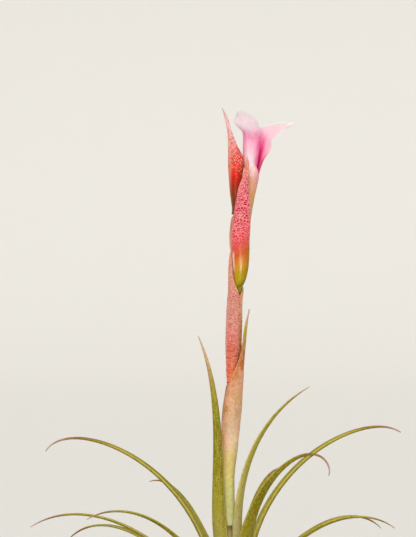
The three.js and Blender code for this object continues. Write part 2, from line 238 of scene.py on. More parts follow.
@dataclass
class Sheet:
    """A thin curved form: a grid of middle points with a thickness, closed at its margins and ends.

    Each row runs from margin to margin, and the rows follow each other from the foot to the tip. The
    outer face is on the side of the cross product of the directions across and along, or on the other
    side where turn is -1. The second UV value is the share of the way along to the power pace.
    """

    middle: Array
    thick: Array
    turn: int = 1
    relief: Array | float = 0.0
    pace: float = 1.0

    def outward(self) -> Array:
        """Gives the unit normal of the outer face at each grid point, from the grid's own slopes."""
        along, across, _ = np.gradient(self.middle)
        return self.turn * unit(np.cross(across, along))

    def faces_of(self) -> tuple[Array, Array]:
        """Gives the grids of the outer and the inner face.

        The sheet is as thick as its profile says in the middle, and thins to nothing at both margins as
        one less the fourth power of the distance from the middle line. Relief is added to the outer face.

        Returns:
            The points of the outer and of the inner face.
        """
        share = np.linspace(-1, 1, self.middle.shape[1])[None, :]
        edge = 1 - share**4
        half = (self.thick * edge / 2)[..., None]
        raised = (np.broadcast_to(self.relief, self.thick.shape) * edge)[..., None]
        normal = self.outward()
        return self.middle + normal * (half + raised), self.middle - normal * half

    def patch(self) -> Patch:
        """Closes the outer and inner face into one solid skin.

        The two faces share the points of both margins, and a row of faces closes each end.

        Returns:
            The closed skin.
        """
        outer, inner = self.faces_of()
        rows, cols = self.thick.shape
        number = np.arange(rows * cols).reshape(rows, cols)
        back = number + rows * cols
        back[:, 0], back[:, -1] = number[:, 0], number[:, -1]
        quads = []
        for grid, step in ((number, 1), (back, -1)):
            ring = np.stack([grid[:-1, :-1], grid[:-1, 1:], grid[1:, 1:], grid[1:, :-1]], -1)
            quads.append(ring.reshape(-1, 4)[:, ::step])
        for end, step in ((0, -1), (-1, 1)):
            lid = np.stack([number[end, :-1], number[end, 1:], back[end, 1:], back[end, :-1]], -1)
            quads.append(lid[:, ::step])
        faces = [tuple(dict.fromkeys(q)) for q in np.concatenate(quads).tolist()]
        v, u = np.meshgrid(np.linspace(0, 1, rows), np.linspace(0, 1, cols), indexing="ij")
        uv = np.stack([u, v**self.pace], -1).reshape(-1, 2)
        side = np.repeat([0.0, 1.0], rows * cols)
        points = np.concatenate([outer.reshape(-1, 3), inner.reshape(-1, 3)])
        used = np.unique(np.concatenate([np.array(f) for f in faces]))
        renumber = np.zeros(len(points), int)
        renumber[used] = np.arange(len(used))
        faces = [tuple(int(renumber[i]) for i in f) for f in faces]
        flag = side[used]
        flag[np.isin(used, number[:, [0, -1]])] = 0.5
        return Patch(points[used], faces, np.concatenate([uv, uv])[used], flag).facing_out()

    def scales(
        self, count: int, size: float, seed: int, keep: Callable[[Array, Array], Array] | None = None
    ) -> Patch:
        """Scatters small shield-shaped scales over both faces, each a closed low double cone.

        Cells of the grid are drawn by their area, and a scale stands at a random place in its cell, tilted
        a little towards the tip. Its rim is a ring of points round a centre, with one apex just above the
        skin and one sunk under it.

        Args:
            count: how many scales are drawn.
            size: the mean radius of a scale in millimetres.
            seed: fixes the draw.
            keep: gives, for u and v, the chance that a scale drawn there stays.

        Returns:
            The scales as one patch for the second material slot.
        """
        rng = np.random.default_rng(seed)
        rows, cols = self.thick.shape
        normal = self.outward()
        grids = self.faces_of()
        picks = []
        for grid, sign in zip(grids, (1, -1)):
            down, right = grid[1:, :-1] - grid[:-1, :-1], grid[:-1, 1:] - grid[:-1, :-1]
            area = np.linalg.norm(np.cross(down, right), axis=-1).ravel()
            cell = rng.choice(area.size, count // 2, p=area / area.sum())
            i, j = np.divmod(cell, cols - 1)
            a, b = rng.random((2, len(cell)))
            corner = [(1 - a) * (1 - b), (1 - a) * b, a * (1 - b), a * b]
            place = [(i, j), (i, j + 1), (i + 1, j), (i + 1, j + 1)]
            root = sum(w[:, None] * grid[p] for w, p in zip(corner, place))
            up = sign * normal[i, j]
            tip = unit(grid[i + 1, j] - grid[i, j])
            u, v = (j + b) / (cols - 1), ((i + a) / (rows - 1)) ** self.pace
            stay = np.ones(len(cell), bool) if keep is None else rng.random(len(cell)) < keep(u, v)
            flag = np.full(len(cell), 0.0 if sign > 0 else 1.0)
            picks.append([x[stay] for x in (root, up, tip, u, v, flag)])
        root, up, tip, u, v, flag = (np.concatenate(x) for x in zip(*picks))
        many = len(root)
        reach = size * rng.uniform(*SCALE_SIZES, many)
        side = np.cross(up, tip)
        k = np.arange(SCALE_SIDES)
        turn = np.radians(360 / SCALE_SIDES) * k[None, :, None] + rng.uniform(0, 1, many)[:, None, None]
        rim = np.cos(turn) * tip[:, None] * SCALE_LENGTH + np.sin(turn) * side[:, None]
        rim = root[:, None] + rim * reach[:, None, None]
        rim += up[:, None] * (RIM_LIFT + RIM_TILT * np.cos(turn)) * reach[:, None, None]
        top = root + up * (APEX_HEIGHT * reach)[:, None]
        low = root - up * (APEX_DEPTH * reach)[:, None]
        points = np.concatenate([rim, top[:, None], low[:, None]], 1).reshape(-1, 3)
        after = (k + 1) % SCALE_SIDES
        fan = np.concatenate([
            np.stack([k, after, np.full_like(k, SCALE_SIDES)], -1),
            np.stack([after, k, np.full_like(k, SCALE_SIDES + 1)], -1),
        ])
        each = SCALE_SIDES + 2
        faces = (fan[None] + each * np.arange(many)[:, None, None]).reshape(-1, 3)
        faces = [tuple(f) for f in faces.tolist()]
        uv = np.repeat(np.stack([u, v], -1), each, axis=0)
        return Patch(points, faces, uv, np.repeat(flag, each), slot=1, smooth=False).facing_out()


# Finishes

BEND_CELL = 0.9
WANDER_CELL = 1.6
MOTTLE_CELL = 0.8
SCALE_CELL = 0.6
TISSUE_IOR = 1.42
MARK_BUMP = 0.6
DEPTH_BY_COLOUR = (1.0, 0.5, 0.35)


def colour(code: str) -> tuple[float, float, float, float]:
    """Turns an sRGB hex value into the linear values that a shader takes.

    A dark channel is divided by 12.92, and any other is shifted and raised to the power 2.4.

    Args:
        code: a value such as "#8F8A1E".

    Returns:
        Linear red, green and blue, and an alpha of 1.
    """
    values = np.array([int(code[i : i + 2], 16) for i in (1, 3, 5)]) / 255
    linear = np.where(values <= 0.04045, values / 12.92, ((values + 0.055) / 1.055) ** 2.4)
    return (*linear.tolist(), 1.0)


def add_node(
    tree: bpy.types.NodeTree,
    kind: str,
    inputs: dict[str | int, object] | None = None,
    stops: Sequence[tuple[float, str | float]] = (),
    **settings: object,
) -> bpy.types.Node:
    """Adds a shader node with its settings, values and links.

    Args:
        tree: the material's node tree.
        kind: the node's type name, without the ShaderNode that all of them start with.
        inputs: for each input, by name or number, a socket to link from or a value to set; a hex colour
            is a value too.
        stops: a ramp's stops, each a place from 0 to 1 with a hex colour or a grey from 0 to 1.
        settings: the node's own properties.

    Returns:
        The new node.
    """
    node = tree.nodes.new("ShaderNode" + kind)
    for name, value in settings.items():
        setattr(node, name, value)
    for key, value in (inputs or {}).items():
        if isinstance(value, bpy.types.NodeSocket):
            tree.links.new(value, node.inputs[key])
        else:
            node.inputs[key].default_value = colour(value) if isinstance(value, str) else value
    for _ in stops[2:]:
        node.color_ramp.elements.new(0.5)
    for n, (place, value) in enumerate(stops):
        node.color_ramp.elements[n].position = place
        node.color_ramp.elements[n].color = colour(value) if isinstance(value, str) else (*[value] * 3, 1)
    return node


def bare_material(name: str) -> bpy.types.Material:
    """Adds a material with an empty node tree.

    Args:
        name: the finish's name.

    Returns:
        The material.
    """
    material = bpy.data.materials.new(name)
    material.use_nodes = True
    material.node_tree.nodes.clear()
    return material


class Pattern(Enum):
    """The shapes that the marks of a skin take: borders of cells, points of cells, or soft noise."""

    NET = "DISTANCE_TO_EDGE"
    DOTS = "F1"
    GRAIN = "noise"


class Run(Enum):
    """What the colour bands of a skin follow: the height above the foot, or the piece's own length."""

    HEIGHT = "height"
    LENGTH = "length"


@dataclass(frozen=True)
class Marks:
    """One layer of small marks on a skin: a net or dots of pale scales, grain, or dark dashes.

    The cell is a mark's width and height in millimetres. The reach says where a mark starts and where it
    is full, in the units of its texture, and the strength how much it shows along the bands. The mark
    stands up from the skin by the share raised, or lies in it where that is negative.
    """

    pattern: Pattern
    shade: str
    cell: tuple[float, float]
    strength: Knots
    reach: tuple[float, float]
    raised: float = 1.0

    def mask(self, tree: bpy.types.NodeTree, place: bpy.types.NodeSocket) -> bpy.types.NodeSocket:
        """Draws the marks as a mask from 0 to 1.

        The place is bent by soft noise of up to a quarter of the cell's width, so that no row of cells is
        straight, and divided by the cell's width and height.

        Args:
            tree: the material's node tree.
            place: the Object coordinates.

        Returns:
            The mask: full near the borders of Voronoi cells for a net, near their points for dots, and in
            high noise for grain.
        """
        wide, high = self.cell
        inputs = {"Vector": place, "Scale": 1 / (BEND_CELL * MM), "Detail": 1.0}
        bend = add_node(tree, "TexNoise", inputs).outputs["Color"]
        push = add_node(tree, "VectorMath", {0: bend, 1: (0.5, 0.5, 0.5)}, operation="SUBTRACT").outputs[0]
        push = add_node(tree, "VectorMath", {0: push, 3: 0.5 * wide * MM}, operation="SCALE").outputs[0]
        bent = add_node(tree, "VectorMath", {0: place, 1: push}, operation="ADD").outputs[0]
        size = (1 / (wide * MM), 1 / (wide * MM), 1 / (high * MM))
        cells = add_node(tree, "VectorMath", {0: bent, 1: size}, operation="MULTIPLY").outputs[0]
        if self.pattern is Pattern.GRAIN:
            source = add_node(tree, "TexNoise", {"Vector": cells, "Scale": 1.0, "Detail": 2.0}).outputs[0]
        else:
            inputs = {"Vector": cells, "Scale": 1.0}
            source = add_node(tree, "TexVoronoi", inputs, feature=self.pattern.value).outputs["Distance"]
        ends = {0: source, 1: self.reach[0], 2: self.reach[1], 3: 0.0, 4: 1.0}
        return add_node(tree, "MapRange", ends, interpolation_type="SMOOTHSTEP").outputs[0]


@dataclass(frozen=True)
class Edge:
    """A second shade towards one margin: none at start, whole at full, both shares of the way across."""

    start: float
    full: float
    shade: str
    strength: Knots = ((0, 1), (1, 1))


@dataclass(frozen=True)
class Skin:
    """The living skin of a leaf, bract, sepal or petal: bands of colour with layers of marks on it.

    Plant tissue is a dielectric with an IOR of about 1.42. Light enters it a little, which the
    subsurface weight gives, and its scales scatter light along the edges, which the sheen gives. Bands,
    roughness and the strength of marks are given over the height in millimetres or over the length from 0
    to 1. The bands stand higher at the far margin than at the first one by the lean. The drift is how far
    they wander, and the skin darkens in soft clouds by up to twice the mottle.
    """

    name: str
    bands: tuple[tuple[float, str], ...]
    marks: tuple[Marks, ...] = ()
    run: Run = Run.HEIGHT
    edges: tuple[Edge, ...] = ()
    lean: float = 0.0
    inside: str | None = None
    roughness: Knots = ((0, 0.5), (1, 0.5))
    coat: float = 0.0
    coat_roughness: float = 0.2
    specular: float = 0.08
    subsurface: float = 0.08
    subsurface_depth: float = 0.4
    sheen: float = 0.04
    relief: float = 0.03
    drift: float = 0.03
    mottle: float = 0.08

    def scaled(self, stops: Sequence[tuple[float, object]]) -> list[tuple[float, object]]:
        """Brings stops that are given along the bands to places from 0 to 1."""
        low, high = self.bands[0][0], self.bands[-1][0]
        return [(min(max((place - low) / (high - low), 0), 1), value) for place, value in stops]

    def along(
        self, tree: bpy.types.NodeTree, place: bpy.types.NodeSocket, uv: bpy.types.Node
    ) -> bpy.types.NodeSocket:
        """Gives how far along the bands a point lies, from 0 to 1, wandering a little with soft noise.

        Args:
            tree: the material's node tree.
            place: the Object coordinates.
            uv: the node that parts the surface's u and v.

        Returns:
            The place along the bands.
        """
        if self.run is Run.HEIGHT:
            height = add_node(tree, "SeparateXYZ", {0: place}).outputs["Z"]
            ends = {0: height, 1: self.bands[0][0] * MM, 2: self.bands[-1][0] * MM}
            way = add_node(tree, "MapRange", ends).outputs[0]
        else:
            way = uv.outputs["Y"]
        inputs = {"Vector": place, "Scale": 1 / (WANDER_CELL * MM), "Detail": 2.0}
        wander = add_node(tree, "TexNoise", inputs).outputs[0]
        wander = add_node(tree, "MapRange", {0: wander, 3: -self.drift, 4: self.drift}).outputs[0]
        way = add_node(tree, "Math", {0: way, 1: wander}, operation="ADD").outputs[0]
        share = self.lean / (self.bands[-1][0] - self.bands[0][0])
        inputs = {0: uv.outputs["X"], 3: share / 2, 4: -share / 2}
        tilt = add_node(tree, "MapRange", inputs).outputs[0]
        return add_node(tree, "Math", {0: way, 1: tilt}, operation="ADD", use_clamp=True).outputs[0]

    def build(self) -> bpy.types.Material:
        """Makes the material.

        Returns:
            A material whose colour comes from the bands, a soft mottle, the edges, the marks and the inner
            face, in that order, and whose bump comes from the marks.
        """
        material = bare_material(self.name)
        tree = material.node_tree
        place = add_node(tree, "TexCoord").outputs["Object"]
        uv = add_node(tree, "UVMap", uv_map="surface").outputs[0]
        uv = add_node(tree, "SeparateXYZ", {0: uv})
        way = self.along(tree, place, uv)
        skin = add_node(tree, "ValToRGB", {0: way}, self.scaled(self.bands)).outputs[0]
        inputs = {"Vector": place, "Scale": 1 / (MOTTLE_CELL * MM), "Detail": 3.0}
        cloudy = add_node(tree, "TexNoise", inputs).outputs[0]
        greys = [(0.3, 1 - 2 * self.mottle), (0.7, 1.0)]
        cloudy = add_node(tree, "ValToRGB", {0: cloudy}, greys).outputs[0]
        inputs = {0: 1.0, 6: skin, 7: cloudy}
        skin = add_node(tree, "Mix", inputs, data_type="RGBA", blend_type="MULTIPLY").outputs[2]
        for edge in self.edges:
            inputs = {0: uv.outputs["X"], 1: edge.start, 2: edge.full, 3: 0.0, 4: 1.0}
            share = add_node(tree, "MapRange", inputs, interpolation_type="SMOOTHSTEP").outputs[0]
            strength = add_node(tree, "ValToRGB", {0: way}, self.scaled(edge.strength)).outputs[0]
            share = add_node(tree, "Math", {0: share, 1: strength}, operation="MULTIPLY").outputs[0]
            skin = add_node(tree, "Mix", {0: share, 6: skin, 7: edge.shade}, data_type="RGBA").outputs[2]
        height = 0.0
        for marks in self.marks:
            strength = add_node(tree, "ValToRGB", {0: way}, self.scaled(marks.strength)).outputs[0]
            inputs = {0: marks.mask(tree, place), 1: strength}
            mask = add_node(tree, "Math", inputs, operation="MULTIPLY").outputs[0]
            skin = add_node(tree, "Mix", {0: mask, 6: skin, 7: marks.shade}, data_type="RGBA").outputs[2]
            inputs = {0: mask, 1: marks.raised, 2: height}
            height = add_node(tree, "Math", inputs, operation="MULTIPLY_ADD").outputs[0]
        if self.inside:
            inner = add_node(tree, "Attribute", attribute_name="inner").outputs["Fac"]
            skin = add_node(tree, "Mix", {0: inner, 6: skin, 7: self.inside}, data_type="RGBA").outputs[2]
        rough = add_node(tree, "ValToRGB", {0: way}, self.scaled(self.roughness)).outputs[0]
        inputs = {"Height": height, "Strength": MARK_BUMP, "Distance": self.relief * MM}
        bump = add_node(tree, "Bump", inputs).outputs[0]
        inputs = {
            "Base Color": skin,
            "Roughness": rough,
            "IOR": TISSUE_IOR,
            "Specular IOR Level": self.specular,
            "Subsurface Weight": self.subsurface,
            "Subsurface Radius": DEPTH_BY_COLOUR,
            "Subsurface Scale": self.subsurface_depth * MM,
            "Coat Weight": self.coat,
            "Coat Roughness": self.coat_roughness,
            "Sheen Weight": self.sheen,
            "Normal": bump,
        }
        shader = add_node(tree, "BsdfPrincipled", inputs).outputs[0]
        add_node(tree, "OutputMaterial", {0: shader})
        return material


@dataclass(frozen=True)
class Scale:
    """The dry scales that drink the dew: thin, silvery and matt, so they catch light at any angle."""

    name: str
    shade: str
    dark: str
    roughness: float = 0.62
    specular: float = 0.25
    ior: float = 1.45

    def build(self) -> bpy.types.Material:
        """Makes the material.

        Returns:
            A material whose colour changes softly from scale to scale.
        """
        material = bare_material(self.name)
        tree = material.node_tree
        place = add_node(tree, "TexCoord").outputs["Object"]
        inputs = {"Vector": place, "Scale": 1 / (SCALE_CELL * MM), "Detail": 1.0}
        noise = add_node(tree, "TexNoise", inputs).outputs[0]
        shade = add_node(tree, "ValToRGB", {0: noise}, [(0.35, self.dark), (0.6, self.shade)]).outputs[0]
        inputs = {
            "Base Color": shade,
            "Roughness": self.roughness,
            "IOR": self.ior,
            "Specular IOR Level": self.specular,
        }
        shader = add_node(tree, "BsdfPrincipled", inputs).outputs[0]
        add_node(tree, "OutputMaterial", {0: shader})
        return material


# The rules that the plant's forms follow

SPINE_STEPS = 240
ROD_CELL = 0.4
ROD_STRETCH = (1, 1, 0.5)
RELIEF_CELL = 0.34
RELIEF_STRETCH = (1, 1, 1.3)
RELIEF_FADE = 3
CREASE_SAG = 14
CREASE_HEIGHT = 0.12
CREASE_REACH = 0.09


@dataclass(frozen=True)
class Sheath:
    """A bract or sepal that wraps an upright axis, drawn as an arc at each height from low to high.

    The arc's centre is x and y, its radius bend, and its margins stand at the angles start and end. All
    are curves over the height, as the thickness is. A crease has a height, a share of the way from margin
    to margin, and a depth.
    """

    low: float
    high: float
    x: Profile
    y: Profile
    bend: Profile
    start: Profile
    end: Profile
    thick: Profile
    spiral: float = 0.0
    smooth_below: float = 0.0
    creases: tuple[tuple[float, float, float], ...] = ()

    def sheet(self, rows: int, cols: int, grain: float = 0.0, seed: int = 1) -> Sheet:
        """Works out the sheath's surface.

        Each row is an arc: centre plus radius times (cosine, sine) of an angle that runs evenly from one
        margin to the other, while the radius grows by the spiral. The relief is soft noise that fades in
        above the smooth foot, less the creases. A crease is a bell across the height and a flatter bell
        along the share, and it sags with the square of the share away from its middle.

        Args:
            rows: steps along the height.
            cols: steps from margin to margin.
            grain: the relief's height in millimetres.
            seed: picks the relief.

        Returns:
            The sheet, with its outer face away from the axis.
        """
        z = np.linspace(self.low, self.high, rows)[:, None]
        share = np.linspace(0, 1, cols)[None, :]
        angle = np.radians(self.start(z) + (self.end(z) - self.start(z)) * share)
        bend = self.bend(z) + self.spiral * (share - 0.5)
        middle = np.stack([
            self.x(z) + bend * np.cos(angle),
            self.y(z) + bend * np.sin(angle),
            np.broadcast_to(z, angle.shape),
        ], -1)
        fade = smooth_step((z - self.smooth_below) / RELIEF_FADE)
        relief = grain * cloud(middle * RELIEF_STRETCH, RELIEF_CELL, seed) * fade
        for height, place, depth in self.creases:
            off = share - place
            sunk = (z - height + CREASE_SAG * off**2) / CREASE_HEIGHT
            relief = relief - depth * np.exp(-(sunk**2) - (off / CREASE_REACH) ** 4)
        return Sheet(middle, self.thick(np.broadcast_to(z, angle.shape)), relief=relief)


@dataclass(frozen=True)
class Spine:
    """The line that a blade follows.

    It leaves its foot, which stands at a height and a radius from the axis, at lift degrees above the
    horizontal. The elevation falls by bend evenly and by curl towards the tip, as the power late of the
    way along. The azimuth swings by sway towards the tip, and lean tilts the section about the line.
    """

    azimuth: float
    height: float
    length: float
    lift: float
    bend: float
    curl: float
    late: float
    radius: float
    sway: float = 0.0
    lean: float = 0.0

    def stations(self, rows: int) -> tuple[Array, Array, Array, Array]:
        """Walks the line in even steps.

        The direction of each step is (cos az cos up, sin az cos up, sin up), and the steps are added up
        from the foot. The face direction lies at a right angle to it and is turned about it by the lean.

        Args:
            rows: how many stations are kept; one less must divide the number of steps.

        Returns:
            The share of the way along, and the points, faces and side directions of the stations.
        """
        t = np.linspace(0, 1, SPINE_STEPS + 1)
        up = np.radians(self.lift - self.bend * t - self.curl * t**self.late)
        az = np.radians(self.azimuth + self.sway * t * t)
        flat = np.stack([np.cos(az), np.sin(az), 0 * t], -1)
        sky = np.array([0.0, 0.0, 1.0])
        along = flat * np.cos(up)[:, None] + sky * np.sin(up)[:, None]
        face = -flat * np.sin(up)[:, None] + sky * np.cos(up)[:, None]
        tilt = np.radians(self.lean * t)[:, None]
        face = face * np.cos(tilt) + np.cross(along, face) * np.sin(tilt)
        foot = self.radius * flat[0] + sky * self.height
        walked = (np.cumsum(along, axis=0) - along) * self.length / SPINE_STEPS
        keep = np.linspace(0, SPINE_STEPS, rows).round().astype(int)
        return t[keep], (foot + walked)[keep], face[keep], np.cross(along, face)[keep]


@dataclass(frozen=True)
class Rod:
    """A round rod between two heights: its centre and radius are curves over the height."""

    low: float
    high: float
    x: Profile
    y: Profile
    radius: Profile

    def patch(self, rows: int, cols: int, grain: float = 0.0, seed: int = 1) -> Patch:
        """Closes the rod into a skin: rings of points at even heights, with a point in each end.

        Args:
            rows: rings along the height.
            cols: points round a ring.
            grain: the relief's height in millimetres.
            seed: picks the relief.

        Returns:
            The closed skin.
        """
        z = np.linspace(self.low, self.high, rows)[:, None]
        angle = np.linspace(0, 2 * np.pi, cols, endpoint=False)[None, :]
        round_ = np.stack(np.broadcast_arrays(np.cos(angle), np.sin(angle), 0 * z), -1)
        centre = np.stack(np.broadcast_arrays(self.x(z), self.y(z), z), -1)
        ring = centre + round_ * self.radius(z)[..., None]
        ring = ring + round_ * (grain * cloud(ring * ROD_STRETCH, ROD_CELL, seed))[..., None]
        number = np.arange(rows * cols).reshape(rows, cols)
        right = np.roll(number, -1, axis=1)
        quads = np.stack([number[:-1], right[:-1], right[1:], number[1:]], -1).reshape(-1, 4)
        tips = rows * cols + np.arange(2)
        faces = [tuple(q) for q in quads.tolist()]
        faces += [(int(b), int(a), int(tips[0])) for a, b in zip(number[0], right[0])]
        faces += [(int(a), int(b), int(tips[1])) for a, b in zip(number[-1], right[-1])]
        points = np.concatenate([ring.reshape(-1, 3), centre[0], centre[-1]])
        v, u = np.meshgrid(np.linspace(0, 1, rows), np.linspace(0, 1, cols), indexing="ij")
        uv = np.concatenate([np.stack([u, v], -1).reshape(-1, 2), [[0.5, 0], [0.5, 1]]])
        return Patch(points, faces, uv, np.zeros(len(points))).facing_out()


def dress(piece: bpy.types.Object, slot: str, *nodes: str) -> None:
    """Lets a piece ride on the plant and stand for its solids.

    Args:
        piece: the finished piece.
        slot: the record's material slot; not used.
        nodes: the solids that it replaces.
    """
    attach(piece, "root")
    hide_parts(*nodes)
    LOG.info("%s: %d faces, stands for %s", piece.name, len(piece.data.polygons), ", ".join(nodes))


# The stem, and the rosette that it carries

STEM_TOP = 86.6
STEM_RADIUS = Profile((
    (0, 3.2), (1.2, 3.9), (4, 4.0), (8, 3.0), (12, 1.7), (16, 0.9), (22, 0.58), (40, 0.5), (48, 0.4),
    (60, 0.4), (76, 0.36), (83, 0.3), (84, 0.24), (STEM_TOP, 0.2),
))
STEM_X = Profile((
    (0, 0), (10, 0), (20, -0.5), (31, -0.75), (41, -0.25), (50, 0.2), (58, 0.35), (66, 0.42), (72, 0.36),
    (74.5, 0.24), (77, -0.12), (79, -0.2), (81, 0), (82.4, 0.24), (83.4, 0.86), (84.2, 1.02),
    (STEM_TOP, 0.92),
))
STEM_Y = Profile(((0, 0), (66, 0), (74, 0.36), (78, 0.6), (STEM_TOP, 0.6)))


@dataclass
class Stem:
    """The stem from its flat foot to the spike, with the short stalk of the open flower."""

    # Dry, fibrous stem tissue: matt and brown at the foot, paler and warmer along the spike
    finish: Skin = Skin(
        name="Stem bark and rachis",
        bands=(
            (0, "#6E5334"), (6, "#8A6B42"), (20, "#B7A66A"), (40, "#C8B070"), (60, "#D0A068"),
            (76, "#E0987A"), (80, "#D88A70"), (84, "#A8682C"), (STEM_TOP, "#8A5018"),
        ),
        marks=(
            Marks(
                Pattern.GRAIN, "#D9C7A4", (0.5, 1.4), ((0, 0.6), (20, 0.3), (STEM_TOP, 0.15)),
                (0.42, 0.62),
            ),
        ),
        roughness=((0, 0.85), (20, 0.7), (STEM_TOP, 0.5)),
    )

    def build(self) -> None:
        """Builds the stem with its side stalk."""
        stem = Rod(0, STEM_TOP, STEM_X, STEM_Y, STEM_RADIUS).patch(rows=360, cols=36, grain=0.05, seed=3)
        stalk = Rod(
            65.6, 69.3,
            Profile(((65.6, 0.42), (67.2, 0.75), (69.3, 1.4))), level(0.05),
            Profile(((65.6, 0.2), (66.6, 0.3), (69.3, 0.34))),
        ).patch(rows=40, cols=16, grain=0.01, seed=4)
        dress(make_piece("stem_and_rachis", [stem, stalk], [self.finish.build()]), "stem", "stem")


# Over the share of the way along a leaf: its width and thickness in shares of the fullest, and the knots
# of half the angle that its cross section spans, in degrees
LEAF_WIDTH = Profile((
    (0, 0.9), (0.06, 1), (0.15, 0.92), (0.3, 0.7), (0.45, 0.52), (0.7, 0.32), (0.9, 0.15), (1, 0.05),
))
LEAF_THICKNESS = Profile(((0, 0.9), (0.1, 1), (0.5, 0.92), (0.8, 0.66), (1, 0.25)))
CUP = ((0.2, 38), (0.5, 30), (1, 24))
DRY_PLACE = 0.72
SIDE_GROOVES = 3
GROOVE_DEPTH = 0.02
LEAF_CELL = 0.8
TALL_LEAVES = 5


class Look(Enum):
    """The looks that a leaf can have."""

    DRY = "Leaf skin, olive with a dry tip"
    PALE = "Leaf skin, pale olive"
    BROWN = "Leaf skin, olive with a brown tip"


@dataclass(frozen=True)
class Leaf:
    """One leaf: its spine, its half width at the sheath, where its tip turns dry, and its look.

    The dry tip starts at a share of the way, and the thickness is multiplied by the plumpness.
    """

    name: str
    spine: Spine
    half_width: float
    dry: float = 0.8
    plump: float = 1.0
    look: Look = Look.BROWN

    def sheet(self, rows: int, cols: int, thickness: float, seed: int = 0) -> Sheet:
        """Works out the leaf's surface.

        Each row is an arc of the leaf's width, cupped towards the face of the spine: its centre lies one
        bend radius along the face, and its angle runs evenly from minus to plus the half cup angle. The
        relief is a cosine that makes three shallow grooves on each side of the middle, with soft noise.

        Args:
            rows: steps along the leaf, one more than a divisor of the spine's steps.
            cols: steps from margin to margin.
            thickness: the blade's thickness at its thickest, in millimetres.
            seed: picks the relief.

        Returns:
            The sheet, with its outer face below.
        """
        t, point, face, side = self.spine.stations(rows)
        foot_cup = math.degrees(math.asin(min(0.85, self.half_width / self.spine.radius)))
        cup = np.radians(Profile(((0, foot_cup), *CUP))(t))
        bend = self.half_width * LEAF_WIDTH(t) / np.sin(cup)
        share = np.linspace(-1, 1, cols)
        angle = cup[:, None] * share
        reach = bend[:, None, None]
        across = -face[:, None] * np.cos(angle)[..., None] + side[:, None] * np.sin(angle)[..., None]
        middle = (point + face * bend[:, None])[:, None] + across * reach
        thick = np.broadcast_to((self.plump * thickness * LEAF_THICKNESS(t))[:, None], angle.shape)
        groove = np.cos(2 * SIDE_GROOVES * np.pi * share)[None, :] + cloud(middle, LEAF_CELL, 11 + seed)
        relief = GROOVE_DEPTH * groove * LEAF_WIDTH(t)[:, None]
        return Sheet(middle, thick, turn=-1, relief=relief, pace=math.log(DRY_PLACE) / math.log(self.dry))


